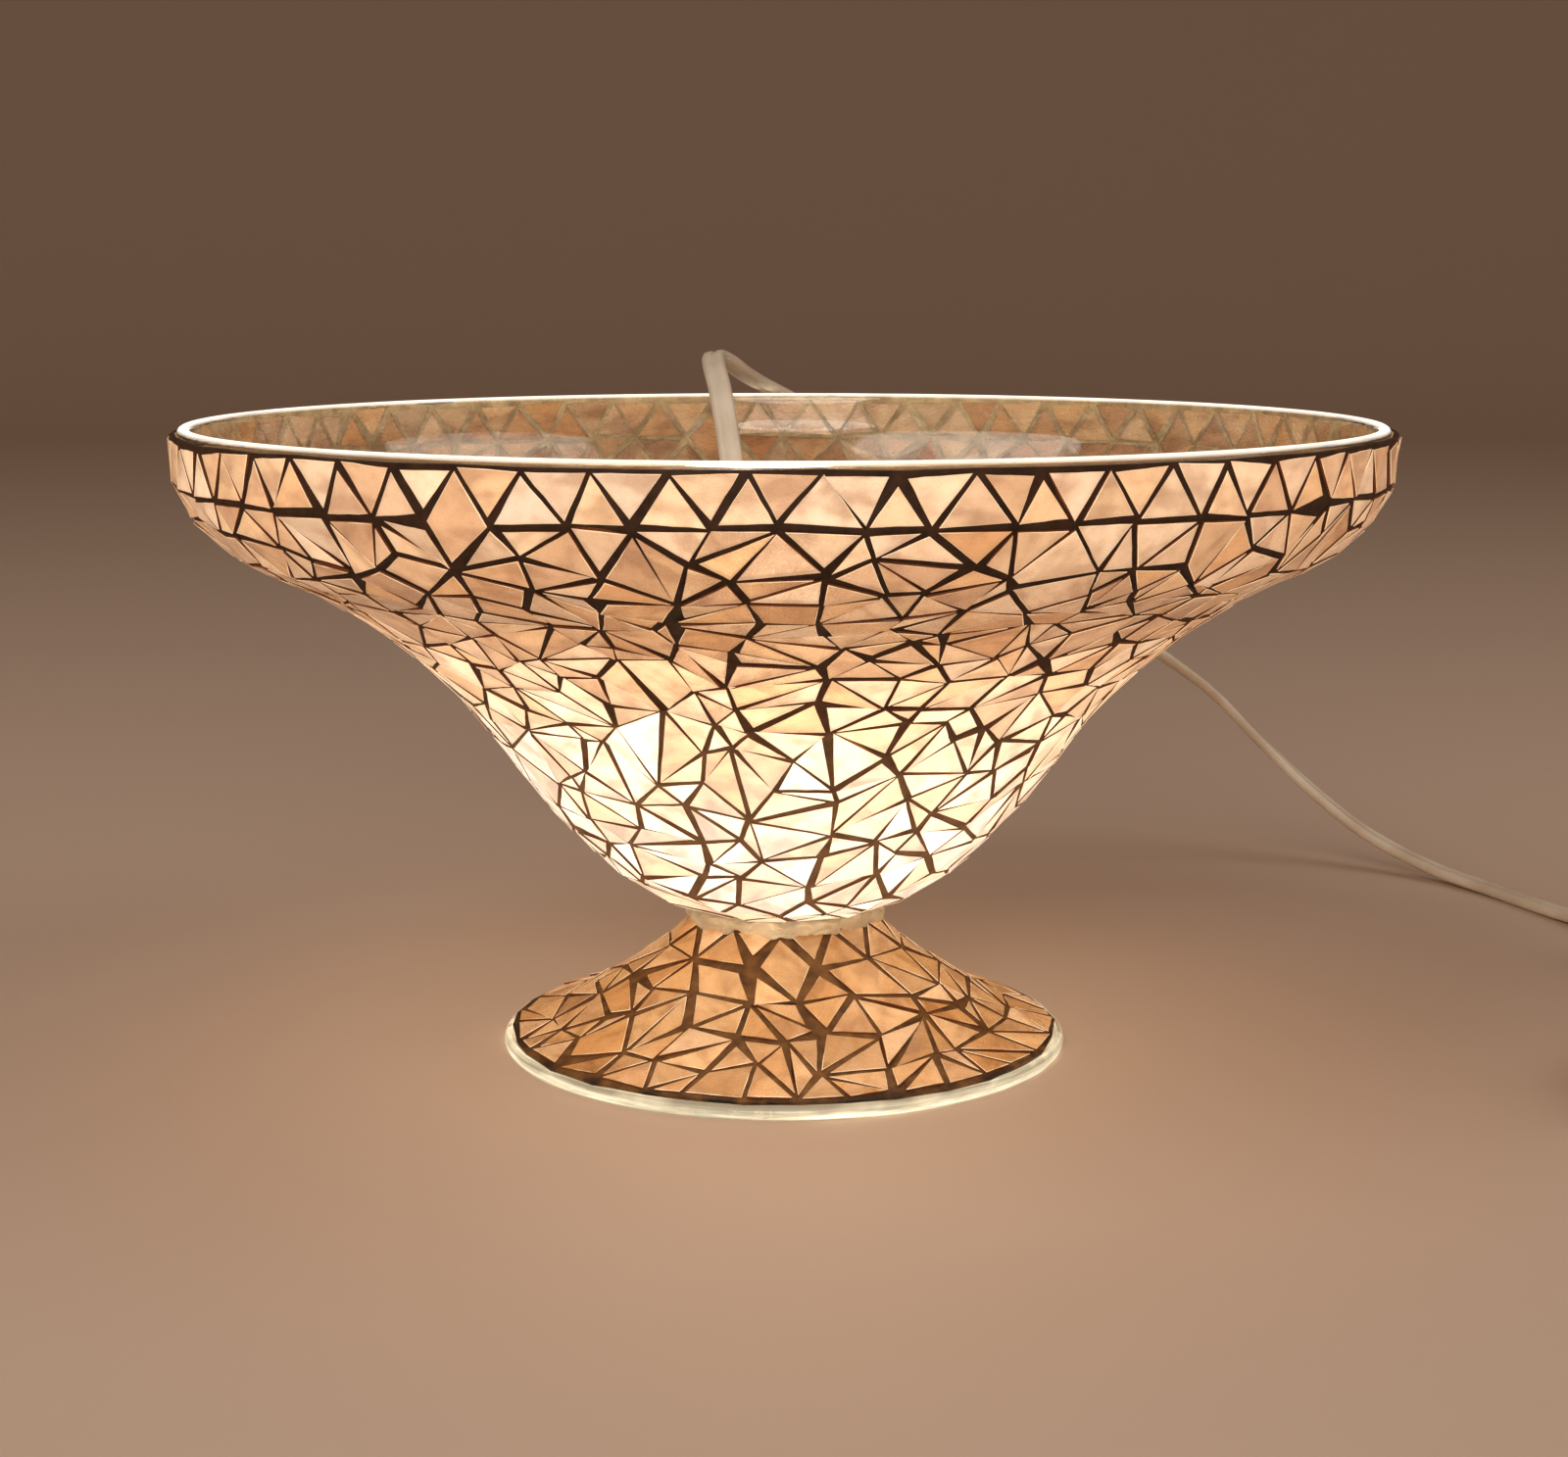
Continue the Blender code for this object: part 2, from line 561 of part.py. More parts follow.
def main():
    clear_scene()
    looks = {
        "clear_glass": material("clear_glass", (0.92, 0.92, 0.86), 0.05, clear=0.9),
        "bowl_tiles": material("bowl_tiles", (0.80, 0.62, 0.42), 0.22),
        "foot_tiles": material("foot_tiles", (0.72, 0.45, 0.20), 0.25),
        "grout": material("grout", (0.035, 0.020, 0.012), 0.8),
        "foot_grout": material("foot_grout", (0.16, 0.07, 0.02), 0.6),
        "cement": material("cement", (0.78, 0.68, 0.48), 0.5),
        "adhesive": material("adhesive", (0.55, 0.55, 0.52), 0.8),
        "phenolic": material("phenolic", (0.62, 0.58, 0.50), 0.4),
        "fibre": material("fibre", (0.33, 0.13, 0.06), 0.8),
        "brass": material("brass", (0.78, 0.58, 0.25), 0.3, 1.0),
        "steel": material("steel", (0.60, 0.60, 0.58), 0.35, 1.0),
        "black_glass": material("black_glass", (0.02, 0.02, 0.03), 0.15),
        "opal": material("opal", (1.0, 0.93, 0.80), 0.3, clear=0.4),
        "ivory": material("ivory", (0.80, 0.74, 0.62), 0.45),
        "cord": material("cord", (0.78, 0.72, 0.60), 0.45),
        "tie": material("tie", (0.85, 0.83, 0.78), 0.6),
        "brown_plastic": material("brown_plastic", (0.10, 0.05, 0.03), 0.4),
    }
    kit = empty("kit_axis", (KIT_X, 0, 0))
    add_bowl(looks)
    add_foot(looks)
    add_neck(looks)
    add_holder(looks, kit)
    add_bulb(looks, kit)
    add_cord(looks)
    add_switch(looks)
    add_plug(looks)


main()
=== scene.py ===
import math
import random

import bmesh
import bpy
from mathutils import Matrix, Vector
from mathutils.geometry import delaunay_2d_cdt


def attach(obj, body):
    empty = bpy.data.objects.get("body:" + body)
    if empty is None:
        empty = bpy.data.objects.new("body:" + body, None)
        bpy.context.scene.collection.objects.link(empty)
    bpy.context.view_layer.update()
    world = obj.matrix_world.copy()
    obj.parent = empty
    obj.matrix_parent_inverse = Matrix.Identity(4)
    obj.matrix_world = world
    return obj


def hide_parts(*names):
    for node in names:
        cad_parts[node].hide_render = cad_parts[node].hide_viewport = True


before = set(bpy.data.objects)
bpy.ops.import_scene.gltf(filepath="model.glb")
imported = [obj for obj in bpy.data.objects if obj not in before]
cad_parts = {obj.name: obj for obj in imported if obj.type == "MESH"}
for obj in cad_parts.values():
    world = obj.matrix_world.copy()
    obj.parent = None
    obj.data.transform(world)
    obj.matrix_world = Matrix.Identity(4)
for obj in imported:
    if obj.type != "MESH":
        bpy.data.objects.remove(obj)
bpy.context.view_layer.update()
mm = 0.001
sameSpot = 1e-6
print("frame loaded:", len(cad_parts), "nodes")


# camera, floor and light

roomSettings = {
    "lens": 62.08,
    "cameraPlace": (0, -0.5626, 0.1628),
    "pitchDown": 0.1684,
    "floorColour": (0.62, 0.46, 0.35),
    "floorFlat": 2.2,
    "floorBend": 1.2,
    "wallTop": 2.6,
    "wallColour": (0.50, 0.38, 0.30, 1),
    "wallLight": 0.28,
    "keyPower": 9.5,
    "fillPower": 6.0,
    "frontPower": 6.5,
}


def addCamera(settings):
    lens = bpy.data.cameras.new("camera")
    lens.lens = settings["lens"]
    lens.sensor_width = 36
    lens.sensor_fit = "HORIZONTAL"
    lens.clip_start = 0.01
    camera = bpy.data.objects.new("camera", lens)
    camera.location = settings["cameraPlace"]
    camera.rotation_euler = (math.pi / 2 - settings["pitchDown"], 0, 0)
    bpy.context.scene.collection.objects.link(camera)
    bpy.context.scene.camera = camera


def addSoftLight(name, place, size, power, colour):
    panel = bpy.data.lights.new(name, "AREA")
    panel.shape = "DISK"
    panel.size = size
    panel.energy = power
    panel.color = colour
    light = bpy.data.objects.new(name, panel)
    light.location = place
    aim = Vector((0, 0, 0.06)) - Vector(place)
    light.rotation_euler = aim.to_track_quat("-Z", "Y").to_euler()
    bpy.context.scene.collection.objects.link(light)


def addWall(settings):
    world = bpy.data.worlds.new("room")
    world.use_nodes = True
    background = world.node_tree.nodes["Background"]
    background.inputs["Color"].default_value = settings["wallColour"]
    background.inputs["Strength"].default_value = settings["wallLight"]
    bpy.context.scene.world = world
    bpy.context.scene.view_settings.view_transform = "Standard"


addCamera(roomSettings)
addWall(roomSettings)
addSoftLight("keyLight", (-0.9, -0.7, 1.3), 1.3, roomSettings["keyPower"], (1.0, 0.94, 0.88))
addSoftLight("fillLight", (1.2, -0.2, 1.0), 1.2, roomSettings["fillPower"], (1.0, 0.92, 0.86))
addSoftLight("frontLight", (-0.1, -1.35, 0.50), 0.8, roomSettings["frontPower"], (1.0, 0.95, 0.88))
print("camera and light ready")


# small helpers for trees and meshes


def socketOf(sockets, key):
    if isinstance(key, int):
        return sockets[key]
    return next(socket for socket in sockets if socket.name == key and socket.enabled)


def addNode(tree, kind, values=None, **settings):
    made = tree.nodes.new(kind)
    for key, value in settings.items():
        setattr(made, key, value)
    for key, value in (values or {}).items():
        socket = socketOf(made.inputs, key)
        if isinstance(value, bpy.types.NodeSocket):
            tree.links.new(value, socket)
        else:
            socket.default_value = value
    return made


def outOf(node, key=0):
    return socketOf(node.outputs, key)


def sums(tree, operation, first, second=0.0):
    return outOf(addNode(tree, "ShaderNodeMath", {0: first, 1: second}, operation=operation))


def heightIn(tree):
    place = addNode(tree, "ShaderNodeSeparateXYZ",
                    {"Vector": outOf(addNode(tree, "ShaderNodeTexCoord"), "Object")})
    return outOf(place, "Z")


def vectors(tree, operation, first, second=None, scale=None):
    values = {0: first}
    if second is not None:
        values[1] = second
    if scale is not None:
        values["Scale"] = scale
    made = addNode(tree, "ShaderNodeVectorMath", values, operation=operation)
    single = operation in ("DOT_PRODUCT", "LENGTH", "DISTANCE")
    return outOf(made, "Value" if single else "Vector")


def linked(name, mesh, look=None):
    made = bpy.data.objects.new(name, mesh)
    bpy.context.scene.collection.objects.link(made)
    if look:
        mesh.materials.append(look)
    return made


def closeUp(mesh):
    work = bmesh.new()
    work.from_mesh(mesh)
    bmesh.ops.remove_doubles(work, verts=work.verts, dist=sameSpot)
    bmesh.ops.recalc_face_normals(work, faces=work.faces)
    work.to_mesh(mesh)
    work.free()


def settle(piece, replaced=(), body="lamp"):
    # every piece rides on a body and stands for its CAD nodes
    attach(piece, body)
    if replaced:
        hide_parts(*replaced)
    return piece


def startTree(name, sockets):
    tree = bpy.data.node_groups.new(name, "GeometryNodeTree")
    tree.interface.new_socket("Geometry", in_out="INPUT", socket_type="NodeSocketGeometry")
    for label, kind in sockets:
        tree.interface.new_socket(label, in_out="INPUT", socket_type="NodeSocket" + kind)
    tree.interface.new_socket("Geometry", in_out="OUTPUT", socket_type="NodeSocketGeometry")
    return tree, tree.nodes.new("NodeGroupInput")


def endTree(tree, geometry):
    ending = tree.nodes.new("NodeGroupOutput")
    tree.links.new(geometry, ending.inputs[0])


def runTree(tree, name, startMesh, values):
    source = linked(name + "Start", startMesh)
    change = source.modifiers.new("made", "NODES")
    change.node_group = tree
    for item in tree.interface.items_tree:
        if item.in_out == "INPUT" and item.name in values:
            change[item.identifier] = values[item.name]
    graph = bpy.context.evaluated_depsgraph_get()
    mesh = bpy.data.meshes.new_from_object(source.evaluated_get(graph))
    mesh.name = name
    source.modifiers.remove(change)
    bpy.data.objects.remove(source)
    return linked(name, mesh)


def smoothCurve(points, steps):
    given = [Vector(point) for point in points]
    ends = [2 * given[0] - given[1]] + given + [2 * given[-1] - given[-2]]
    curve = []
    for before, start, end, after in zip(ends, ends[1:], ends[2:], ends[3:]):
        for step in range(steps):
            t = step / steps
            curve.append(0.5 * (2 * start + (end - before) * t
                                + (2 * before - 5 * start + 4 * end - after) * t * t
                                + (3 * start - before - 3 * end + after) * t ** 3))
    return curve + [given[-1]]


def lengthOf(curve):
    return sum((end - start).length for start, end in zip(curve, curve[1:]))


def evenly(curve, spacing):
    # the curve again, with points an even distance apart
    count = max(2, round(lengthOf(curve) / spacing))
    step = lengthOf(curve) / count
    found, left = [curve[0]], step
    for start, end in zip(curve, curve[1:]):
        stretch = (end - start).length
        while stretch > 0 and left <= stretch + 1e-12 and len(found) < count:
            found.append(start.lerp(end, left / stretch))
            left += step
        left -= stretch
    return found + [curve[-1]]


def movedOut(line, distance):
    steps = [(end - start).normalized() for start, end in zip(line, line[1:])]
    sides = [Vector((-step.y, step.x)) for step in steps]
    sides = [sides[0]] + sides + [sides[-1]]
    moved = []
    for point, left, right in zip(line, sides, sides[1:]):
        mitre = (left + right).normalized()
        moved.append(point + mitre * (distance / mitre.dot(right)))
    return moved


# materials


lookWords = {
    "metal": "Metallic",
    "clear": "Transmission Weight",
    "ior": "IOR",
    "coat": "Coat Weight",
    "coatRough": "Coat Roughness",
    "soft": "Subsurface Weight",
    "depth": "Subsurface Scale",
}


def newLook(name, colour, roughness, **sockets):
    look = bpy.data.materials.new(name)
    look.use_nodes = True
    tree = look.node_tree
    shader = tree.nodes["Principled BSDF"]
    shader.inputs["Base Color"].default_value = (*colour, 1)
    shader.inputs["Roughness"].default_value = roughness
    for label, value in sockets.items():
        shader.inputs[lookWords[label]].default_value = value
    return look, tree, shader


def pattern(tree, size, detail=3.0, stretch=(1, 1, 1), vector=None, roughness=0.55):
    place = vector or outOf(addNode(tree, "ShaderNodeTexCoord"), "Object")
    place = outOf(addNode(tree, "ShaderNodeMapping", {"Vector": place, "Scale": stretch}), "Vector")
    return outOf(addNode(tree, "ShaderNodeTexNoise",
                         {"Vector": place, "Scale": size, "Detail": detail,
                          "Roughness": roughness}), "Fac")


def ramp(tree, value, stops):
    made = addNode(tree, "ShaderNodeValToRGB", {"Fac": value})
    band = made.color_ramp
    while len(band.elements) < len(stops):
        band.elements.new(0.5)
    for element, (place, colour) in zip(band.elements, stops):
        element.position = place
        element.color = (*colour, 1) if len(colour) == 3 else colour
    return outOf(made, "Color")


def mixed(tree, share, first, second, kind="MIX"):
    made = addNode(tree, "ShaderNodeMix", {}, data_type="RGBA", blend_type=kind)
    for key, value in ((0, share), (6, first), (7, second)):
        if isinstance(value, bpy.types.NodeSocket):
            tree.links.new(value, made.inputs[key])
        else:
            made.inputs[key].default_value = value
    return made.outputs[2]


def bumped(tree, shader, height, strength, distance):
    made = addNode(tree, "ShaderNodeBump", {"Height": height})
    made.inputs["Strength"].default_value = strength
    made.inputs["Distance"].default_value = distance
    tree.links.new(outOf(made), shader.inputs["Normal"])


def grained(name, colours, roughs, size, bumpHeight, stretch=(1, 1, 1), **sockets):
    # a plain finish with two mixed tones, uneven gloss and a fine grain
    look, tree, shader = newLook(name, colours[0], roughs[0], **sockets)
    grain = pattern(tree, size, 5, stretch)
    tree.links.new(ramp(tree, grain, [(0.35, colours[0]), (0.68, colours[1])]),
                   shader.inputs["Base Color"])
    broad = pattern(tree, size * 0.21, 3, stretch)
    span = addNode(tree, "ShaderNodeMapRange", {"Value": broad, "From Min": 0.3, "From Max": 0.7,
                                                "To Min": roughs[0], "To Max": roughs[1]})
    tree.links.new(outOf(span), shader.inputs["Roughness"])
    bumped(tree, shader, grain, 0.5, bumpHeight)
    return look


def glowing(look, colour, strength):
    shader = look.node_tree.nodes["Principled BSDF"]
    shader.inputs["Emission Color"].default_value = (*colour, 1)
    shader.inputs["Emission Strength"].default_value = strength


# the flat cord, which comes first because it is the only loose piece

cordSettings = {
    "width": 5.6 * mm,
    "thick": 2.8 * mm,
    "groove": 0.42,
    "step": 2.2 * mm,
    "coilCentre": (0.2000, -0.0480),
    "coilRings": (35.65 * mm, 32.55 * mm, 29.45 * mm, 26.35 * mm),
    "coilTurns": 6,
    "pointsPerTurn": 24,
    "easeFrom": 0.78,
    "lowLayer": 4.1 * mm,
    "highLayer": 9.9 * mm,
    "climbOut": 1.0 * mm,
}

leadRoute = [
    (-0.0055, 0.0265, 0.0478), (-0.0055, 0.0323, 0.0505), (-0.0058, 0.0400, 0.0552),
    (-0.0066, 0.0500, 0.0650), (-0.0082, 0.0600, 0.0820), (-0.0100, 0.0680, 0.1010),
    (-0.0125, 0.0765, 0.1190), (-0.0150, 0.0870, 0.1330), (-0.0168, 0.0950, 0.1395),
    (-0.0170, 0.1020, 0.1418), (-0.0140, 0.1085, 0.1405), (-0.0100, 0.1155, 0.1372),
    (-0.0055, 0.1232, 0.1342), (0.0010, 0.1315, 0.1305), (0.0120, 0.1425, 0.1235),
    (0.0300, 0.1560, 0.1130), (0.0500, 0.1670, 0.0970), (0.0750, 0.1750, 0.0780),
    (0.1043, 0.1790, 0.0576), (0.1185, 0.1800, 0.0472), (0.1311, 0.1795, 0.0347),
    (0.1450, 0.1760, 0.0214), (0.1600, 0.1675, 0.0098), (0.1745, 0.1520, 0.0034),
    (0.1870, 0.1310, 0.0016), (0.1965, 0.1070, 0.0016), (0.2040, 0.0880, 0.0030),
    (0.2094, 0.0720, 0.0060), (0.2118, 0.0630, 0.0065),
]
tailRoute = [
    (0.2240, 0.0175, 0.0065), (0.2251, 0.0136, 0.0065), (0.2275, 0.0050, 0.0060),
    (0.2310, -0.0080, 0.0046), (0.2342, -0.0220, 0.0042),
]
endRoute = [
    (0.2353, -0.0660, 0.0096), (0.2337, -0.0780, 0.0086), (0.2290, -0.0900, 0.0076),
    (0.2205, -0.0990, 0.0071), (0.2118, -0.1029, 0.0070), (0.2085, -0.1037, 0.0070),
]


def coilRoute(settings):
    # three turns inwards on the table, one that climbs, and two outwards on top of them
    centre = Vector((*settings["coilCentre"], 0))
    rings = settings["coilRings"]
    low, high = settings["lowLayer"], settings["highLayer"]
    climb, easeFrom = settings["climbOut"], settings["easeFrom"]
    points = []
    for index in range(1, settings["coilTurns"] * settings["pointsPerTurn"]):
        turn = index / settings["pointsPerTurn"]
        whole = int(turn)
        ease = max(0.0, min(1.0, (turn - whole - easeFrom) / (1 - easeFrom)))
        ease = ease * ease * (3 - 2 * ease)
        if turn < 3:
            radius = rings[whole] + (rings[whole + 1] - rings[whole]) * ease
            height = low
        elif turn < 4:
            radius = rings[3] + climb * ease
            height = low + (high - low) * ease
        else:
            share = (turn - 4) / 2
            radius = rings[3] + climb + (rings[0] - rings[3] - climb) * share
            height = high
        angle = -math.tau * turn
        points.append(centre + Vector((radius * math.cos(angle), radius * math.sin(angle), height)))
    return points


def cordSection(settings):
    # two round cores side by side with a groove between, as (across, through) points
    core = settings["thick"] / 2
    reach = settings["width"] / 2 - core
    half = []
    for step in range(-4, 5):
        angle = math.pi / 2 * step / 4
        half.append((reach + core * math.cos(angle), core * math.sin(angle)))
    dip = core * (1 - settings["groove"])
    shoulder = (reach * 0.55, core * 0.93)
    right = [(shoulder[0], -shoulder[1])] + half + [shoulder]
    left = [(-x, -y) for x, y in right]
    return right + [(0, dip)] + left + [(0, -dip)]


def sweepCord(name, route, twist, settings, look):
    # twist(share) gives the turn of the wide side from level, in radians
    section = cordSection(settings)
    points = evenly(route, settings["step"])
    mesh = bpy.data.meshes.new(name)
    work = bmesh.new()
    grainLayer = work.loops.layers.uv.new("along")
    rings, travelled = [], 0.0
    distances = []
    for index, point in enumerate(points):
        before, after = points[max(index - 1, 0)], points[min(index + 1, len(points) - 1)]
        ahead = (after - before).normalized()
        level = ahead.cross(Vector((0, 0, 1))).normalized()
        above = level.cross(ahead).normalized()
        turn = twist(index / (len(points) - 1))
        across = level * math.cos(turn) + above * math.sin(turn)
        through = ahead.cross(across)
        rings.append([work.verts.new(point + across * x + through * y) for x, y in section])
        if index:
            travelled += (point - points[index - 1]).length
        distances.append(travelled)
    count = len(section)
    for index in range(len(rings) - 1):
        for corner in range(count):
            following = (corner + 1) % count
            face = work.faces.new((rings[index][corner], rings[index][following],
                                   rings[index + 1][following], rings[index + 1][corner]))
            marks = ((corner, index), (corner + 1, index), (corner + 1, index + 1),
                     (corner, index + 1))
            for loop, (part, ring) in zip(face.loops, marks):
                loop[grainLayer].uv = (part / count, distances[ring] / settings["width"])
    work.faces.new(rings[0][::-1])
    work.faces.new(rings[-1])
    bmesh.ops.recalc_face_normals(work, faces=work.faces)
    work.to_mesh(mesh)
    work.free()
    mesh.shade_smooth()
    mesh.set_sharp_from_angle(angle=math.radians(70))
    return linked(name, mesh, look), points


cordLook, cordTree, cordShader = newLook("cordVinyl", (0.72, 0.60, 0.45), 0.42, soft=0.15,
                                         depth=0.002, coat=0.15, coatRough=0.3)
cordTone = pattern(cordTree, 60, 3)
cordTree.links.new(ramp(cordTree, cordTone, [(0.3, (0.58, 0.46, 0.33)), (0.7, (0.76, 0.66, 0.52))]),
                   cordShader.inputs["Base Color"])
bumped(cordTree, cordShader, pattern(cordTree, 900, 4), 0.25, 0.00008)

leadCurve = smoothCurve(leadRoute, 10)
coilPoints = coilRoute(cordSettings)
tailCurve = smoothCurve([Vector(point) for point in tailRoute] + coilPoints
                        + [Vector(point) for point in endRoute], 4)


def leadTwist(share):
    # lies flat over the rim, rolls on its edge on the way down and lies flat again on the table
    roll = math.exp(-((share - 0.50) / 0.075) ** 2) * 1.15
    return roll + 0.35 * math.exp(-((share - 0.20) / 0.06) ** 2)


def tailTwist(share):
    start = min(share / 0.022, 1)
    end = min((1 - share) / 0.030, 1)
    return math.pi / 2 * min(start, end)


leadCord, leadPath = sweepCord("cordLead", leadCurve, leadTwist, cordSettings, cordLook)
tailCord, tailPath = sweepCord("cordTail", tailCurve, tailTwist, cordSettings, cordLook)
settle(leadCord, ["cord_lead"])
settle(tailCord, ["cord_tail", "cord_coil", "cord_end"])
print("cord lengths:", round(lengthOf(leadPath), 3), round(lengthOf(tailPath), 3))


# shapes that are turned about an upright axis

turnSettings = {"fine": 192, "floor": 96, "middle": 72}

latheTree, latheIn = startTree("latheTree", [("Steps", "Int"), ("Material", "Material")])
hub = 1 * mm
latheCircle = addNode(latheTree, "GeometryNodeCurvePrimitiveCircle",
                      {"Resolution": outOf(latheIn, "Steps"), "Radius": hub}, mode="RADIUS")
latheLine = addNode(latheTree, "GeometryNodeMeshToCurve", {"Mesh": outOf(latheIn, "Geometry")})
latheSkin = addNode(latheTree, "GeometryNodeCurveToMesh",
                    {"Curve": outOf(latheCircle), "Profile Curve": outOf(latheLine)})
latheJoin = addNode(latheTree, "GeometryNodeMergeByDistance",
                    {"Geometry": outOf(latheSkin), "Distance": sameSpot})
latheReal = addNode(latheTree, "GeometryNodeRealizeInstances", {"Geometry": outOf(latheJoin)})
latheFinish = addNode(latheTree, "GeometryNodeSetMaterial",
                      {"Geometry": outOf(latheReal), "Material": outOf(latheIn, "Material")})
endTree(latheTree, outOf(latheFinish))


def turnPiece(name, section, look, steps, closed=False, centre=(0, 0), sharp=38):
    # section holds (radius, height) in metres; an open one starts and ends on the axis
    mesh = bpy.data.meshes.new(name + "Section")
    count = len(section)
    edges = [(index, index + 1) for index in range(count - 1)]
    if closed:
        edges.append((count - 1, 0))
    mesh.from_pydata([(radius - hub, -height, 0) for radius, height in section], edges, [])
    made = runTree(latheTree, name, mesh, {"Steps": steps, "Material": look})
    closeUp(made.data)
    for vertex in made.data.vertices:
        vertex.co.x += centre[0]
        vertex.co.y += centre[1]
    made.data.shade_smooth()
    made.data.set_sharp_from_angle(angle=math.radians(sharp))
    return made


# the glass bowl and foot

glassSettings = {
    "wall": 2.6 * mm,
    "rimRadius": 122.9 * mm,
    "height": 132.0 * mm,
    "footRadius": 59.7 * mm,
    "bowlFloor": 34.3 * mm,
    "bowlUnder": 31.2 * mm,
    "footTop": 28.4 * mm,
}
bowlOutline = [(122.9, 131.0), (122.0, 121.0), (113.7, 109.7), (91.2, 97.8), (68.7, 79.5),
               (49.8, 55.2), (33.0, 38.0), (20.4, 31.9)]
footOutline = [(17.6, 27.4), (24.2, 20.4), (36.0, 12.2), (49.1, 4.6), (57.0, 2.2)]


def outlineCurve(outline):
    return smoothCurve([Vector((radius, height)) * mm for radius, height in outline], 12)


def pairs(points):
    return [(point.x, point.y) for point in points]


def lipGlow(tree, shader, low, high, colour, strength, streaks=((1, 1, 1), 0.0)):
    # a polished edge carries light from the bulb and shows it between the two heights
    edge = addNode(tree, "ShaderNodeMapRange",
                   {"Value": heightIn(tree), "From Min": low, "From Max": high})
    stretch, least = streaks
    uneven = addNode(tree, "ShaderNodeMapRange",
                     {"Value": pattern(tree, 45, 3, stretch), "From Min": 0.3 + least,
                      "From Max": 0.7, "To Min": 0.7 - 2 * least, "To Max": 1.0})
    lit = sums(tree, "MULTIPLY", outOf(edge), outOf(uneven))
    tree.links.new(mixed(tree, lit, (0, 0, 0, 1), colour), shader.inputs["Emission Color"])
    shader.inputs["Emission Strength"].default_value = strength


bowlGlassLook, bowlGlassTree, bowlGlassShader = newLook("bowlGlass", (0.98, 0.96, 0.90), 0.02,
                                                        clear=1.0, ior=1.46)
lipGlow(bowlGlassTree, bowlGlassShader, 131.1 * mm, 131.8 * mm, (1.0, 0.93, 0.80, 1), 1.5)
bumped(bowlGlassTree, bowlGlassShader, pattern(bowlGlassTree, 38, 2), 0.12, 0.0006)
footGlassLook, footGlassTree, footGlassShader = newLook("footGlass", (0.98, 0.93, 0.82), 0.03,
                                                        clear=1.0, ior=1.46)
lipGlow(footGlassTree, footGlassShader, 2.9 * mm, 1.2 * mm, (1.0, 0.88, 0.62, 1), 1.1,
        ((1, 1, 18), 0.2))
bumped(footGlassTree, footGlassShader, pattern(footGlassTree, 60, 3, (1, 1, 5)), 0.25, 0.0006)

bowlCurve = outlineCurve(bowlOutline)
bowlInside = movedOut(bowlCurve, -glassSettings["wall"])
rim, wall, top = glassSettings["rimRadius"], glassSettings["wall"], glassSettings["height"]
rimLip = []
for step in range(9):
    angle = math.pi * step / 8
    rimLip.append((rim - wall / 2 - wall / 2 * math.cos(angle), top - 1.3 * mm
                   + 1.3 * mm * math.sin(angle)))
bowlSection = [(0, glassSettings["bowlFloor"]), (18.6 * mm, glassSettings["bowlFloor"])]
bowlSection += pairs(bowlInside[:1:-1]) + rimLip + pairs(bowlCurve[2:])
bowlSection += [(18.4 * mm, glassSettings["bowlUnder"]), (0, glassSettings["bowlUnder"])]
bowlGlass = turnPiece("bowlGlass", bowlSection, bowlGlassLook, turnSettings["fine"])
settle(bowlGlass, ["bowl_glass"])

footCurve = outlineCurve(footOutline)
footInside = movedOut(footCurve, -glassSettings["wall"])
footSection = [(0, glassSettings["footTop"]), (16.8 * mm, glassSettings["footTop"])]
footSection += pairs(footCurve[1:]) + [(58.3 * mm, 3.0 * mm), (59.1 * mm, 2.75 * mm),
                                      (59.6 * mm, 2.1 * mm), (59.7 * mm, 1.4 * mm),
                                      (59.5 * mm, 0.6 * mm), (59.1 * mm, 0.15 * mm),
                                      (58.6 * mm, 0), (52.5 * mm, 0)]
footSection += pairs([point for point in footInside[::-1] if point.x < 50.5 * mm])
footSection += [(15.2 * mm, 25.2 * mm), (0, 25.2 * mm)]
footGlass = turnPiece("footGlass", footSection, footGlassLook, turnSettings["fine"])
settle(footGlass, ["foot_glass"])
print("glass turned")


# the mosaic: a layout of chips over the glass, then a tree that cuts, raises and roughens them

bulbCentre = (-0.0055, 0.0, 0.0780)
bowlMosaic = {
    "start": 0.62 * mm,
    "end": 0.2 * mm,
    "firstRow": 9.2 * mm,
    "row": 7.6 * mm,
    "chip": 12.0 * mm,
    "borderChips": 62,
    "play": 0.36,
    "flips": 0.40,
    "fourSided": 0.05,
    "bareStart": 0.40 * mm,
    "bareEnd": 0.9 * mm,
    "seed": 7,
    "Joint Width": 0.265 * mm,
    "Corner Play": 0.42,
    "Thickness": 1.30 * mm,
    "Joint Depth": 1.02 * mm,
    "Seed": 3,
}
footMosaic = {
    "start": 1.1 * mm,
    "end": 0.1 * mm,
    "firstRow": 8.6 * mm,
    "row": 8.8 * mm,
    "chip": 11.0 * mm,
    "borderChips": 12,
    "play": 0.30,
    "flips": 0.30,
    "fourSided": 0.06,
    "bareStart": 0.9 * mm,
    "bareEnd": 1.1 * mm,
    "seed": 12,
    "Joint Width": 0.38 * mm,
    "Corner Play": 0.50,
    "Thickness": 1.25 * mm,
    "Joint Depth": 0.98 * mm,
    "Seed": 9,
}
chipSettings = {
    "Lift": 0.45 * mm,
    "Lean": 0.030,
    "Slip": 0.26 * mm,
    "Turn": 0.055,
    "Edge Roughness": 0.20 * mm,
    "Chamfer": 0.13 * mm,
    "Relief": 0.12 * mm,
    "Bulb": bulbCentre,
}


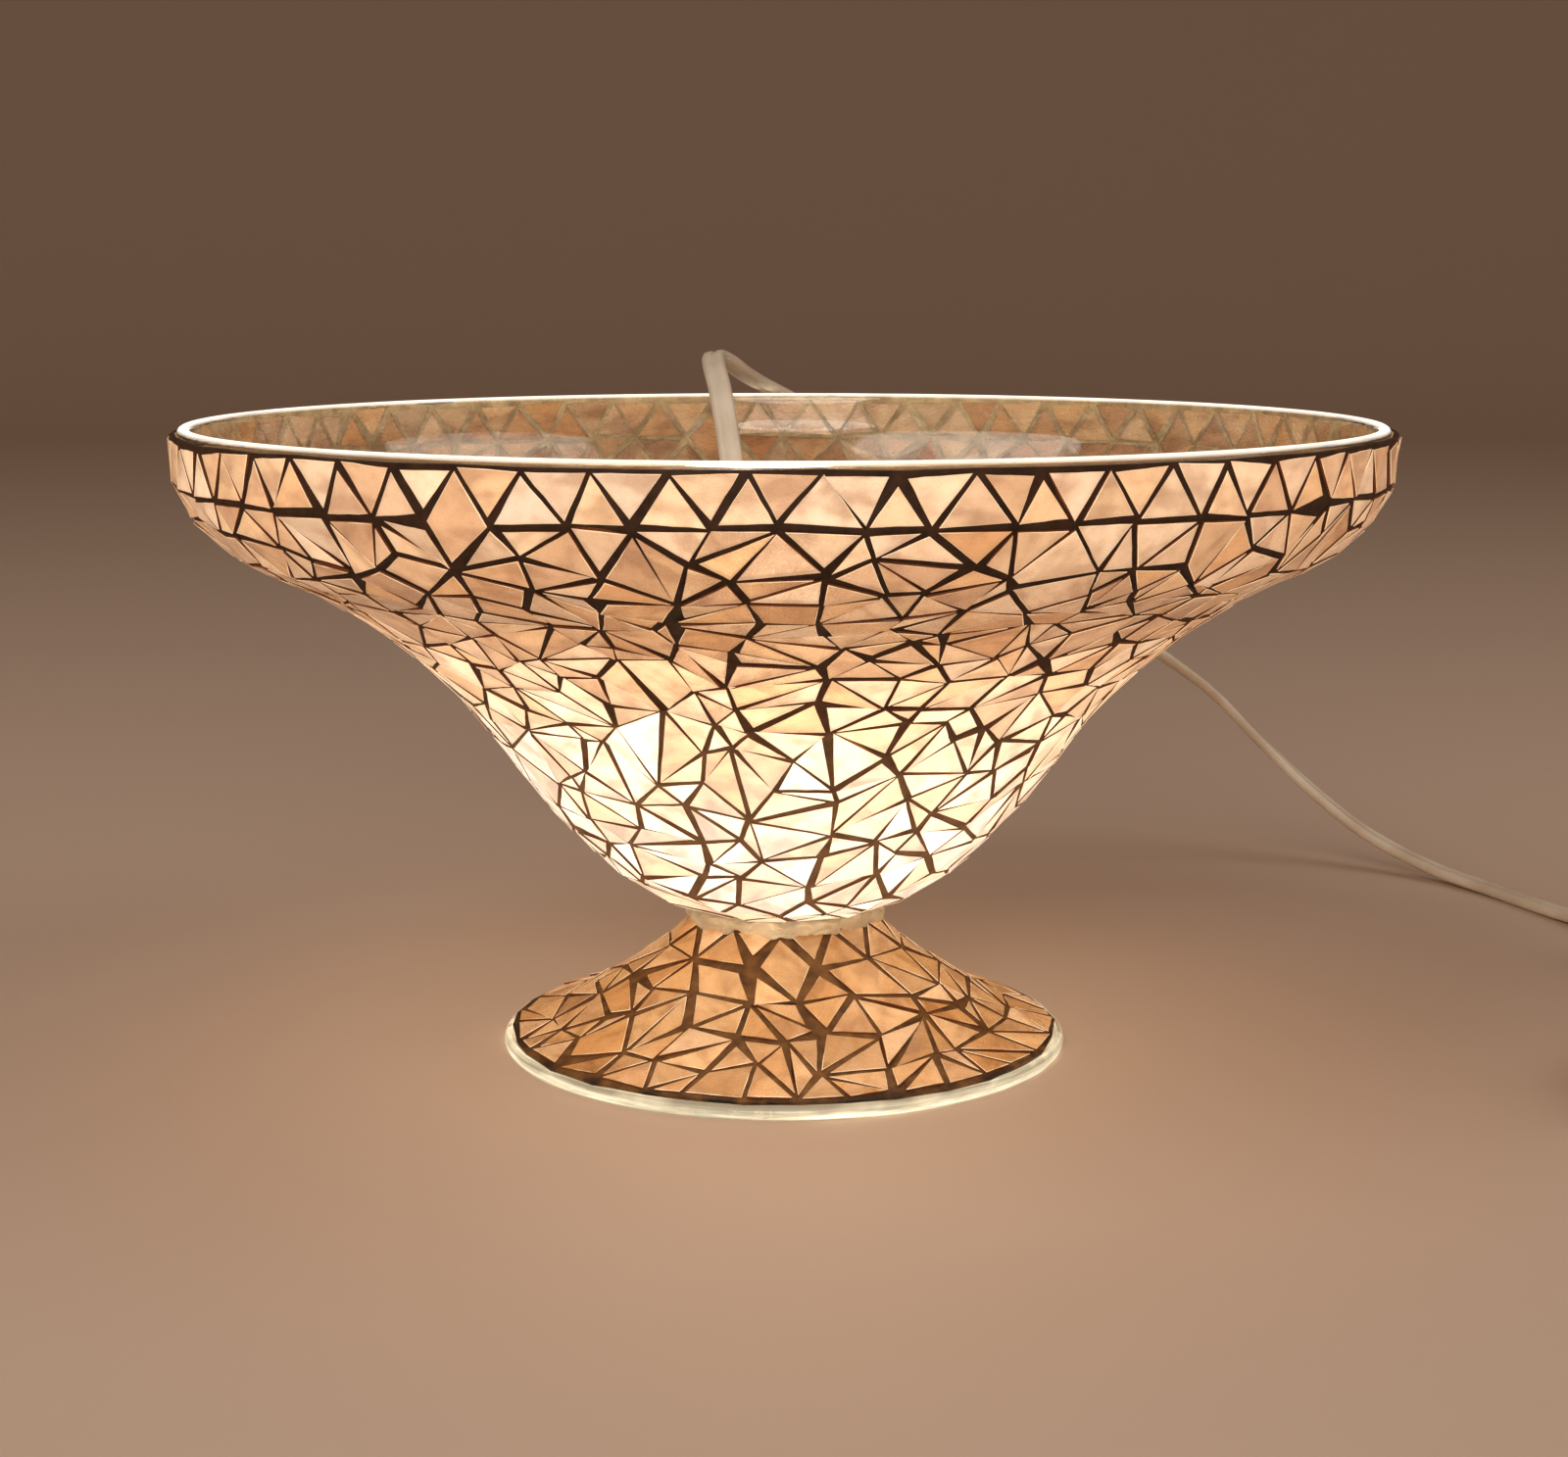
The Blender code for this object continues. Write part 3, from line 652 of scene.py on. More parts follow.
# shares and limits inside the chip tree
chipShares = {
    "reach": 0.44,
    "fullLightAt": 55 * mm,
    "leastSlant": 0.05,
    "jointLeast": 0.80,
    "jointSpread": 0.6,
    "ownPull": 0.06,
    "openPower": 2.2,
    "underGrout": 0.045,
    "thickLeast": 0.82,
    "thickSpread": 0.30,
    "chamferHeight": 0.8,
    "nibbleSize": 420.0,
    "hillSize": 260.0,
    "smearSize": 500.0,
    "smear": 0.16 * mm,
    "weld": 2e-6,
}


def surfaceOf(curve):
    # the outline by distance along it: radius, height, outward direction, and even-angle measure
    table, along, even = [], 0.0, 0.0
    for index, point in enumerate(curve):
        if index:
            stretch = (point - curve[index - 1]).length
            along += stretch
            even += stretch / ((point.x + curve[index - 1].x) / 2)
        before, after = curve[max(index - 1, 0)], curve[min(index + 1, len(curve) - 1)]
        ahead = (after - before).normalized()
        table.append((along, point, Vector((-ahead.y, ahead.x)), even))
    return table


def lookUp(table, along):
    for first, second in zip(table, table[1:]):
        if along <= second[0] or second is table[-1]:
            share = (along - first[0]) / (second[0] - first[0])
            point = first[1].lerp(second[1], share)
            return point, first[2].lerp(second[2], share), first[3] + (second[3] - first[3]) * share


def layChips(table, settings):
    # rows of corners, more and more uneven, joined into triangles and a few four-sided chips
    rng = random.Random(settings["seed"])
    whole = table[-1][0]
    rows = [settings["start"], settings["start"] + settings["firstRow"]]
    span = whole - settings["end"] - rows[1]
    count = round(span / settings["row"])
    rows += [rows[1] + span * (step + 1) / count for step in range(count)]
    corners, rowOf = [], []
    for row, along in enumerate(rows):
        point, _, _ = lookUp(table, along)
        number = max(9, round(math.tau * point.x / settings["chip"]))
        if row < 2:
            number = settings["borderChips"]
        play = (0.05, 0.10)[row] if row < 2 else settings["play"]
        upDown = (0.02, 0.05)[row] if row < 2 else settings["play"]
        if row == len(rows) - 1:
            upDown = 0.02
        shift = 0.5 * (row % 2) if row < 3 else rng.random()
        for step in range(number):
            angle = math.tau * (step + shift + rng.uniform(-play, play)) / number
            place = along + rng.uniform(-upDown, upDown) * settings["row"]
            corners.append((angle % math.tau, place))
            rowOf.append(row)
    flat = []
    owner = []
    for index, (angle, along) in enumerate(corners):
        even = lookUp(table, along)[2]
        for turn in (-1, 0, 1):
            turned = angle + turn * math.tau
            if -1.2 < turned < math.tau + 1.2:
                flat.append(Vector((turned, even)))
                owner.append(index)
    found = delaunay_2d_cdt(flat, [], [], 0, 1e-9)
    spots, faces = found[0], found[2]
    names = [owner[ids[0]] for ids in found[3]]
    chips = set()
    for face in faces:
        middle = sum(spots[corner].x for corner in face) / 3
        if 0 <= middle < math.tau:
            chips.add(tuple(names[corner] for corner in face))
    chips = [list(chip) for chip in sorted(chips) if len({rowOf[c] for c in chip}) > 1
             or rowOf[chip[0]] not in (0, len(rows) - 1)]
    return corners, rowOf, chips, rng, rows


def placeOn(table, angle, along, lift):
    point, out, _ = lookUp(table, along)
    radius = point.x + out.x * lift
    return Vector((radius * math.cos(angle), radius * math.sin(angle), point.y + out.y * lift))


def fits(points, least, most):
    # true if the outline is convex and its corners are neither too sharp nor too blunt
    count = len(points)
    normal = (points[1] - points[0]).cross(points[2] - points[0])
    if count == 4:
        normal = (points[2] - points[0]).cross(points[3] - points[1])
    for index in range(count):
        back = points[index - 1] - points[index]
        on = points[(index + 1) % count] - points[index]
        corner = math.degrees(back.angle(on))
        if not least < corner < most or on.cross(back).dot(normal) <= 0:
            return False
    return True


def layoutMesh(name, curve, settings, lift):
    table = surfaceOf(curve)
    corners, rowOf, chips, rng, rows = layChips(table, settings)
    places = [placeOn(table, angle, along, lift) for angle, along in corners]
    work = bmesh.new()
    verts = [work.verts.new(place) for place in places]
    for chip in chips:
        work.faces.new([verts[corner] for corner in chip])
    bmesh.ops.recalc_face_normals(work, faces=work.faces)
    work.verts.index_update()
    turnSomeEdges(work, rowOf, settings, rng)
    joinSomePairs(work, rowOf, settings, rng)
    mesh = cutApart(name, work, settings, rng)
    work.free()
    ends = []
    for row, side, bare in ((0, -1, settings["bareStart"]), (len(rows) - 1, 1, settings["bareEnd"])):
        ends.append((sorted((c for c, r in zip(corners, rowOf) if r == row)), side, bare))
    addBareStrips(mesh, table, ends, rng, lift)
    strips = sum(len(ring) for ring, side, bare in ends)
    print(name, len(mesh.polygons) - strips, "chips laid")
    return mesh


def innerEdges(work, rng):
    found = [edge for edge in work.edges if len(edge.link_faces) == 2]
    rng.shuffle(found)
    return found


def turnSomeEdges(work, rowOf, settings, rng):
    # an edge between two triangles is turned now and then, so the rows break up
    for edge in innerEdges(work, rng):
        if not edge.is_valid or rng.random() > settings["flips"]:
            continue
        ends = [vert.index for vert in edge.verts]
        if min(rowOf[end] for end in ends) == 0 or max(rowOf[end] for end in ends) < 2:
            continue
        others = []
        for face in edge.link_faces:
            others += [vert for vert in face.verts if vert not in edge.verts]
        if len(others) != 2 or any(len(face.verts) > 3 for face in edge.link_faces):
            continue
        first, second = edge.verts
        ring = [first.co, others[0].co, second.co, others[1].co]
        tests = ([ring[0], ring[1], ring[3]], [ring[2], ring[1], ring[3]])
        if fits(ring, 35, 158) and all(fits(test, 20, 125) for test in tests):
            bmesh.utils.edge_rotate(edge, False)


def joinSomePairs(work, rowOf, settings, rng):
    # a few pairs of triangles become one four-sided chip
    taken, opened = set(), []
    for edge in innerEdges(work, rng):
        if rng.random() > settings["fourSided"] * 2.2:
            continue
        pair = edge.link_faces
        if any(face in taken for face in pair) or min(rowOf[v.index] for v in edge.verts) == 0:
            continue
        others = [vert for face in pair for vert in face.verts if vert not in edge.verts]
        ring = [edge.verts[0].co, others[0].co, edge.verts[1].co, others[1].co]
        area = sum(face.calc_area() for face in pair)
        if fits(ring, 50, 140) and area < 150 * mm * mm:
            taken.update(pair)
            opened.append(edge)
    bmesh.ops.dissolve_edges(work, edges=opened, use_verts=False)


def inwardAt(ring, index):
    # how a corner moves when both its edges move in by one unit
    back = (ring[index - 1] - ring[index]).normalized()
    on = (ring[(index + 1) % len(ring)] - ring[index]).normalized()
    half = back.angle(on) / 2
    return (back + on).normalized() / max(math.sin(half), 0.32)


def cutApart(name, work, settings, rng):
    # every chip gets its own corners; a corner's looseness is shared by the chips around it
    loose = [rng.random() ** 3.2 for _ in work.verts]
    places, faces, insets, looseness = [], [], [], []
    for face in work.faces:
        ring = [vert.co.copy() for vert in face.verts]
        around = sum((ring[index - 1] - ring[index]).length for index in range(len(ring)))
        inner = 2 * face.calc_area() / around
        room = min(1.0, 0.40 * inner / settings["Joint Width"])
        faces.append(range(len(places), len(places) + len(ring)))
        for index, vert in enumerate(face.verts):
            places.append(ring[index])
            insets.append(inwardAt(ring, index) * room)
            looseness.append(loose[vert.index])
    mesh = bpy.data.meshes.new(name)
    mesh.from_pydata(places, [], [list(face) for face in faces])
    insetLayer = mesh.attributes.new("insetBy", "FLOAT_VECTOR", "POINT")
    insetLayer.data.foreach_set("vector", [value for inset in insets for value in inset])
    mesh.attributes.new("looseCorner", "FLOAT", "POINT").data.foreach_set("value", looseness)
    mesh.attributes.new("bare", "FLOAT", "FACE")
    return mesh


def addBareStrips(mesh, table, ends, rng, lift):
    # narrow strips of bare joint above the first row and below the last
    work = bmesh.new()
    work.from_mesh(mesh)
    bareLayer = work.faces.layers.float["bare"]
    for ring, side, bare in ends:
        inner = [placeOn(table, angle, along, lift) for angle, along in ring]
        outer = [placeOn(table, angle, along + side * bare * rng.uniform(0.5, 1.2), lift)
                 for angle, along in ring]
        inner = [work.verts.new(place) for place in inner]
        outer = [work.verts.new(place) for place in outer]
        for index in range(len(ring)):
            following = (index + 1) % len(ring)
            quad = [inner[index], inner[following], outer[following], outer[index]]
            if side < 0:
                quad.reverse()
            work.faces.new(quad)[bareLayer] = 1.0
    work.normal_update()
    for face in work.faces:
        if face.normal.dot(lookOut(table, face.calc_center_median())) < 0:
            face.normal_flip()
    work.to_mesh(mesh)
    work.free()


def lookOut(table, place):
    # the outward direction of the surface nearest to a place
    flat = Vector((math.hypot(place.x, place.y), place.z))
    nearest = min(table, key=lambda entry: (entry[1] - flat).length_squared)[2]
    share = Vector((place.x, place.y, 0)).normalized() * nearest.x
    return Vector((share.x, share.y, nearest.y))


def namedValue(tree, kind, name):
    return outOf(addNode(tree, "GeometryNodeInputNamedAttribute", {"Name": name},
                         data_type=kind), "Attribute")


def keepValue(tree, geometry, name, kind, domain, value):
    return outOf(addNode(tree, "GeometryNodeStoreNamedAttribute",
                         {"Geometry": geometry, "Name": name, "Value": value},
                         data_type=kind, domain=domain))


def randomValue(tree, low, high, seed, kind="FLOAT", ident=None):
    # the inputs of this node repeat their names for each kind, so they are taken by place
    made = addNode(tree, "FunctionNodeRandomValue", {}, data_type=kind)
    if kind == "FLOAT":
        made.inputs[2].default_value, made.inputs[3].default_value = low, high
    else:
        made.inputs[0].default_value, made.inputs[1].default_value = low, high
    if ident is not None:
        tree.links.new(ident, made.inputs[7])
    tree.links.new(seed, made.inputs[8])
    return made.outputs[1 if kind == "FLOAT" else 0]


def seedPlus(tree, given, amount):
    return sums(tree, "ADD", outOf(given, "Seed"), float(amount))


chipSockets = [(label, "Float") for label in
               ("Joint Width", "Corner Play", "Thickness", "Joint Depth", "Lean", "Slip", "Turn",
                "Edge Roughness", "Chamfer", "Relief")]
chipSockets += [("Bulb", "Vector"), ("Seed", "Int"), ("Show Joints", "Bool"),
                ("Material", "Material"), ("Back Material", "Material")]
chipTree, chipIn = startTree("chipTree", chipSockets)


def chipCentres(tree):
    place = outOf(addNode(tree, "GeometryNodeInputPosition"))
    return outOf(addNode(tree, "GeometryNodeFieldOnDomain", {"Value": place},
                         data_type="FLOAT_VECTOR", domain="FACE"))


# what each chip is: its middle, facing, size, tone and how much light reaches it
stream = outOf(chipIn, "Geometry")
stream = keepValue(chipTree, stream, "chipCentre", "FLOAT_VECTOR", "FACE", chipCentres(chipTree))
facing = outOf(addNode(chipTree, "GeometryNodeInputNormal"), "Normal")
stream = keepValue(chipTree, stream, "chipFacing", "FLOAT_VECTOR", "FACE", facing)
area = outOf(addNode(chipTree, "GeometryNodeInputMeshFaceArea"))
reach = sums(chipTree, "MULTIPLY", sums(chipTree, "SQRT", area), chipShares["reach"])
stream = keepValue(chipTree, stream, "chipReach", "FLOAT", "FACE", reach)
tone = randomValue(chipTree, 0.0, 1.0, seedPlus(chipTree, chipIn, 1))
stream = keepValue(chipTree, stream, "chipTone", "FLOAT", "FACE", tone)
second = randomValue(chipTree, 0.0, 1.0, seedPlus(chipTree, chipIn, 2))
stream = keepValue(chipTree, stream, "chipDepth", "FLOAT", "FACE", second)
leaning = randomValue(chipTree, (-1, -1, -1), (1, 1, 1), seedPlus(chipTree, chipIn, 4),
                      "FLOAT_VECTOR")
stream = keepValue(chipTree, stream, "chipLean", "FLOAT_VECTOR", "FACE", leaning)
centre = namedValue(chipTree, "FLOAT_VECTOR", "chipCentre")
facing = namedValue(chipTree, "FLOAT_VECTOR", "chipFacing")
toBulb = vectors(chipTree, "SUBTRACT", centre, outOf(chipIn, "Bulb"))
far = vectors(chipTree, "LENGTH", toBulb)
slant = vectors(chipTree, "DOT_PRODUCT", vectors(chipTree, "NORMALIZE", toBulb), facing)
slant = sums(chipTree, "MAXIMUM", slant, chipShares["leastSlant"])
ratio = sums(chipTree, "DIVIDE", chipShares["fullLightAt"], far)
light = sums(chipTree, "MULTIPLY", sums(chipTree, "POWER", ratio, 2.0), slant)
stream = keepValue(chipTree, stream, "chipGlow", "FLOAT", "FACE", light)

# each chip is cut free of its neighbours; the strips left between become the joints
isBare = namedValue(chipTree, "FLOAT", "bare")
notBare = outOf(addNode(chipTree, "FunctionNodeCompare", {0: isBare, 1: 0.5},
                        data_type="FLOAT", operation="LESS_THAN"))
freed = addNode(chipTree, "GeometryNodeExtrudeMesh",
                {"Mesh": stream, "Selection": notBare, "Offset Scale": 0.0}, mode="FACES")
socketOf(freed.inputs, "Individual").default_value = True
place = outOf(addNode(chipTree, "GeometryNodeInputPosition"))
across = vectors(chipTree, "SUBTRACT", place, centre)
spread = sums(chipTree, "MULTIPLY", namedValue(chipTree, "FLOAT", "chipDepth"),
              chipShares["jointSpread"])
spread = sums(chipTree, "ADD", spread, chipShares["jointLeast"])
width = sums(chipTree, "MULTIPLY", outOf(chipIn, "Joint Width"), spread)
narrowed = vectors(chipTree, "SCALE", namedValue(chipTree, "FLOAT_VECTOR", "insetBy"), scale=width)
ownCorner = randomValue(chipTree, 0.0, 1.0, seedPlus(chipTree, chipIn, 6))
pull = sums(chipTree, "MULTIPLY", sums(chipTree, "POWER", ownCorner, 2.0), chipShares["ownPull"])
ownPart = randomValue(chipTree, 0.0, 1.0, seedPlus(chipTree, chipIn, 7))
openCorner = sums(chipTree, "MULTIPLY", namedValue(chipTree, "FLOAT", "looseCorner"),
                  sums(chipTree, "MULTIPLY",
                       sums(chipTree, "POWER", ownPart, chipShares["openPower"]),
                       outOf(chipIn, "Corner Play")))
pull = sums(chipTree, "ADD", pull, openCorner)
under = sums(chipTree, "MULTIPLY", outOf(chipIn, "Show Joints"), chipShares["underGrout"])
pull = sums(chipTree, "ADD", pull, under)
inward = vectors(chipTree, "SCALE", across, scale=sums(chipTree, "MULTIPLY", pull, -1.0))
inward = vectors(chipTree, "ADD", inward, narrowed)
leanBy = vectors(chipTree, "DOT_PRODUCT", across, namedValue(chipTree, "FLOAT_VECTOR", "chipLean"))
leanBy = sums(chipTree, "MULTIPLY", leanBy, outOf(chipIn, "Lean"))
shift = vectors(chipTree, "ADD", inward, vectors(chipTree, "SCALE", facing, scale=leanBy))
# each chip sits a little off its place and a little turned, so joints do not run on in line
lean = namedValue(chipTree, "FLOAT_VECTOR", "chipLean")
offOut = vectors(chipTree, "SCALE", facing, scale=vectors(chipTree, "DOT_PRODUCT", lean, facing))
slip = vectors(chipTree, "SCALE", vectors(chipTree, "SUBTRACT", lean, offOut),
               scale=outOf(chipIn, "Slip"))
turnShare = sums(chipTree, "SUBTRACT", namedValue(chipTree, "FLOAT", "chipDepth"), 0.5)
turnShare = sums(chipTree, "MULTIPLY", turnShare,
                 sums(chipTree, "MULTIPLY", outOf(chipIn, "Turn"), 2.0))
turned = vectors(chipTree, "SCALE", vectors(chipTree, "CROSS_PRODUCT", facing, across),
                 scale=turnShare)
shift = vectors(chipTree, "ADD", shift, vectors(chipTree, "ADD", slip, turned))
cutChips = addNode(chipTree, "GeometryNodeSetPosition",
                   {"Geometry": outOf(freed, "Mesh"), "Selection": outOf(freed, "Top"),
                    "Offset": shift})
apart = addNode(chipTree, "GeometryNodeSeparateGeometry",
                {"Geometry": outOf(cutChips), "Selection": outOf(freed, "Top")}, domain="FACE")


def roughField(tree, size, amount):
    made = addNode(tree, "ShaderNodeTexNoise", {"Scale": size, "Detail": 3.0})
    moved = vectors(tree, "SUBTRACT", outOf(made, "Color"), (0.5, 0.5, 0.5))
    return vectors(tree, "SCALE", moved, scale=sums(tree, "MULTIPLY", amount, 2.0))


def flattened(tree, moved):
    # the part of a move that lies in the chip's own plane
    outward = vectors(tree, "DOT_PRODUCT", moved, facing)
    return vectors(tree, "SUBTRACT", moved, vectors(tree, "SCALE", facing, scale=outward))


# chips: nibbled edges, thickness, a small chamfer and an uneven face
finer = addNode(chipTree, "GeometryNodeSubdivideMesh",
                {"Mesh": outOf(apart, "Selection"), "Level": 2})
around = outOf(addNode(chipTree, "GeometryNodeInputMeshEdgeNeighbors"), "Face Count")
onEdge = outOf(addNode(chipTree, "FunctionNodeCompare", {2: around, 3: 1},
                       data_type="INT", operation="EQUAL"))
nibble = flattened(chipTree, roughField(chipTree, chipShares["nibbleSize"],
                                        outOf(chipIn, "Edge Roughness")))
nibbled = addNode(chipTree, "GeometryNodeSetPosition",
                  {"Geometry": outOf(finer), "Selection": onEdge, "Offset": nibble})
thick = sums(chipTree, "MULTIPLY", namedValue(chipTree, "FLOAT", "chipTone"),
             chipShares["thickSpread"])
thick = sums(chipTree, "ADD", thick, chipShares["thickLeast"])
thick = sums(chipTree, "MULTIPLY", outOf(chipIn, "Thickness"), thick)
raised = addNode(chipTree, "GeometryNodeExtrudeMesh",
                 {"Mesh": outOf(nibbled), "Offset": facing, "Offset Scale": thick}, mode="FACES")
socketOf(raised.inputs, "Individual").default_value = False
bevelHeight = sums(chipTree, "MULTIPLY", outOf(chipIn, "Chamfer"), chipShares["chamferHeight"])
bevelled = addNode(chipTree, "GeometryNodeExtrudeMesh",
                   {"Mesh": outOf(raised, "Mesh"), "Selection": outOf(raised, "Top"),
                    "Offset": facing, "Offset Scale": bevelHeight}, mode="FACES")
socketOf(bevelled.inputs, "Individual").default_value = False
inset = sums(chipTree, "DIVIDE", outOf(chipIn, "Chamfer"),
             namedValue(chipTree, "FLOAT", "chipReach"))
place = outOf(addNode(chipTree, "GeometryNodeInputPosition"))
inwards = flattened(chipTree, vectors(chipTree, "SUBTRACT", place, centre))
inwards = vectors(chipTree, "SCALE", inwards, scale=sums(chipTree, "MULTIPLY", inset, -1.0))
hills = addNode(chipTree, "ShaderNodeTexNoise", {"Scale": chipShares["hillSize"], "Detail": 2.0})
hill = sums(chipTree, "SUBTRACT", outOf(hills, "Fac"), 0.5)
hill = sums(chipTree, "MULTIPLY", hill, sums(chipTree, "MULTIPLY", outOf(chipIn, "Relief"), 2.0))
topMove = vectors(chipTree, "ADD", inwards, vectors(chipTree, "SCALE", facing, scale=hill))
topped = addNode(chipTree, "GeometryNodeSetPosition",
                 {"Geometry": outOf(bevelled, "Mesh"), "Selection": outOf(bevelled, "Top"),
                  "Offset": topMove})
wallMarked = keepValue(chipTree, outOf(topped), "chipWall", "FLOAT", "FACE", 1.0)
lastTop = addNode(chipTree, "FunctionNodeBooleanMath", {0: outOf(bevelled, "Top")}, operation="NOT")
chipTree.links.new(outOf(lastTop), wallMarked.node.inputs["Selection"])
edgeMarked = keepValue(chipTree, wallMarked, "chipWall", "FLOAT", "FACE", 0.5)
chipTree.links.new(outOf(bevelled, "Side"), edgeMarked.node.inputs["Selection"])
backMarked = keepValue(chipTree, outOf(nibbled), "chipBack", "FLOAT", "FACE", 1.0)
backs = addNode(chipTree, "GeometryNodeFlipFaces", {"Mesh": backMarked})
chipParts = addNode(chipTree, "GeometryNodeJoinGeometry")
chipTree.links.new(edgeMarked, chipParts.inputs[0])
chipTree.links.new(outOf(backs), chipParts.inputs[0])
chipWhole = addNode(chipTree, "GeometryNodeMergeByDistance",
                    {"Geometry": outOf(chipParts), "Distance": chipShares["weld"]})
chipDone = addNode(chipTree, "GeometryNodeSetMaterial",
                   {"Geometry": outOf(chipWhole), "Material": outOf(chipIn, "Material")})

# joints: the strips between the chips, roughened and given depth
web = addNode(chipTree, "GeometryNodeMergeByDistance",
              {"Geometry": outOf(apart, "Inverted"), "Distance": chipShares["weld"]})
strips = addNode(chipTree, "GeometryNodeSubdivideMesh", {"Mesh": outOf(web), "Level": 1})
smear = roughField(chipTree, chipShares["smearSize"], chipShares["smear"])
backSide = addNode(chipTree, "GeometryNodeFlipFaces", {"Mesh": outOf(strips)})
backDone = addNode(chipTree, "GeometryNodeSetMaterial",
                   {"Geometry": outOf(backSide), "Material": outOf(chipIn, "Back Material")})
upright = outOf(addNode(chipTree, "GeometryNodeInputNormal"), "Normal")
deep = addNode(chipTree, "GeometryNodeExtrudeMesh",
               {"Mesh": outOf(strips), "Offset": upright,
                "Offset Scale": outOf(chipIn, "Joint Depth")}, mode="FACES")
socketOf(deep.inputs, "Individual").default_value = False
smeared = addNode(chipTree, "GeometryNodeSetPosition",
                  {"Geometry": outOf(deep, "Mesh"), "Selection": outOf(deep, "Top"),
                   "Offset": smear})
frontDone = addNode(chipTree, "GeometryNodeSetMaterial",
                    {"Geometry": outOf(smeared), "Material": outOf(chipIn, "Material")})
jointParts = addNode(chipTree, "GeometryNodeJoinGeometry")
chipTree.links.new(outOf(backDone), jointParts.inputs[0])
chipTree.links.new(outOf(frontDone), jointParts.inputs[0])
jointWhole = addNode(chipTree, "GeometryNodeMergeByDistance",
                     {"Geometry": outOf(jointParts), "Distance": chipShares["weld"]})
choice = addNode(chipTree, "GeometryNodeSwitch",
                 {"Switch": outOf(chipIn, "Show Joints"), "False": outOf(chipDone),
                  "True": outOf(jointWhole)}, input_type="GEOMETRY")
chipReal = addNode(chipTree, "GeometryNodeRealizeInstances", {"Geometry": outOf(choice)})
endTree(chipTree, outOf(chipReal))


def mark(tree, name, output="Fac"):
    return outOf(addNode(tree, "ShaderNodeAttribute", attribute_name=name), output)


def chipLook(name, tones, litTones, glowGain, clear):
    look, tree, shader = newLook(name, tones[0][1], 0.24, clear=clear, ior=1.48, coat=0.6,
                                 coatRough=0.08)
    own, light = mark(tree, "chipTone"), mark(tree, "chipGlow")
    wall, back = mark(tree, "chipWall"), mark(tree, "chipBack")
    grainPlace = mark(tree, "chipGrain", "Vector")
    streaks = pattern(tree, 1.0, 6, (560, 1700, 1), grainPlace, 0.70)
    clouds = pattern(tree, 230, 4)
    specks = pattern(tree, 1500, 2)
    base = ramp(tree, own, tones)
    shaded = ramp(tree, streaks, [(0.30, (0.74, 0.67, 0.61)), (0.46, (0.94, 0.92, 0.90)),
                                  (0.72, (1.0, 1.0, 1.0))])
    front = sums(tree, "SUBTRACT", 1.0, back)
    base = mixed(tree, sums(tree, "MULTIPLY", front, 0.22), base, shaded, "MULTIPLY")
    # painted shade and highlight: a broad pattern over each chip's grain makes parts of the chip
    # darker and parts brighter
    paintedShade = ramp(tree, pattern(tree, 1.0, 2, (95, 170, 1), grainPlace),
                 [(0.36, (0.52, 0.38, 0.29)), (0.48, (0.86, 0.82, 0.78)), (0.60, (1.0, 1.0, 1.0))])
    base = mixed(tree, 0.75, base, paintedShade, "MULTIPLY")
    # painted sheen: cloudy lighter and darker patches stand in for the pearly sheen of the glass
    paintedSheen = ramp(tree, clouds, [(0.32, (0.74, 0.66, 0.60)), (0.52, (0.95, 0.93, 0.90)),
                                (0.68, (1.0, 1.0, 1.0))])
    base = mixed(tree, 0.75, base, paintedSheen, "MULTIPLY")
    dust = ramp(tree, specks, [(0.30, (0.55, 0.45, 0.38)), (0.38, (1, 1, 1))])
    base = mixed(tree, 0.16, base, dust, "MULTIPLY")
    base = mixed(tree, sums(tree, "MULTIPLY", back, 0.85), base, (0.62, 0.49, 0.36, 1), "MULTIPLY")
    # cut edges: painted highlights where some chamfers catch the light, and painted shade that keeps
    # the side walls dark red-brown
    glint = ramp(tree, pattern(tree, 120, 2), [(0.46, (0, 0, 0)), (0.60, (1, 1, 1))])
    side = ramp(tree, wall, [(0.60, (0, 0, 0)), (0.85, (1, 1, 1))])
    chamfer = ramp(tree, wall, [(0.25, (0, 0, 0)), (0.45, (1, 1, 1)), (0.55, (1, 1, 1)),
                                (0.75, (0, 0, 0))])
    bright = sums(tree, "MULTIPLY", chamfer, glint)
    base = mixed(tree, side, base, (0.10, 0.032, 0.012, 1))
    base = mixed(tree, bright, base, (0.92, 0.79, 0.58, 1))
    tree.links.new(base, shader.inputs["Base Color"])
    # painted glow: the bulb's light on each chip becomes emission, dimmed on the backs, near black
    # on the shaded walls and bright on the glinting chamfers
    glow = mixed(tree, 0.74, ramp(tree, light, litTones), base, "MULTIPLY")
    dimmed = mixed(tree, sums(tree, "MULTIPLY", back, 0.80), glow, (0, 0, 0, 1))
    lift = mixed(tree, side, dimmed, (0.05, 0.012, 0.003, 1))
    lift = mixed(tree, bright, lift, (0.48, 0.33, 0.18, 1))
    tree.links.new(lift, shader.inputs["Emission Color"])
    shader.inputs["Emission Strength"].default_value = glowGain
    rough = addNode(tree, "ShaderNodeMapRange", {"Value": streaks, "From Min": 0.3,
                                                 "From Max": 0.7, "To Min": 0.18, "To Max": 0.42})
    tree.links.new(outOf(rough), shader.inputs["Roughness"])
    bumped(tree, shader, sums(tree, "ADD", streaks, clouds), 0.25, 0.00010)
    return look


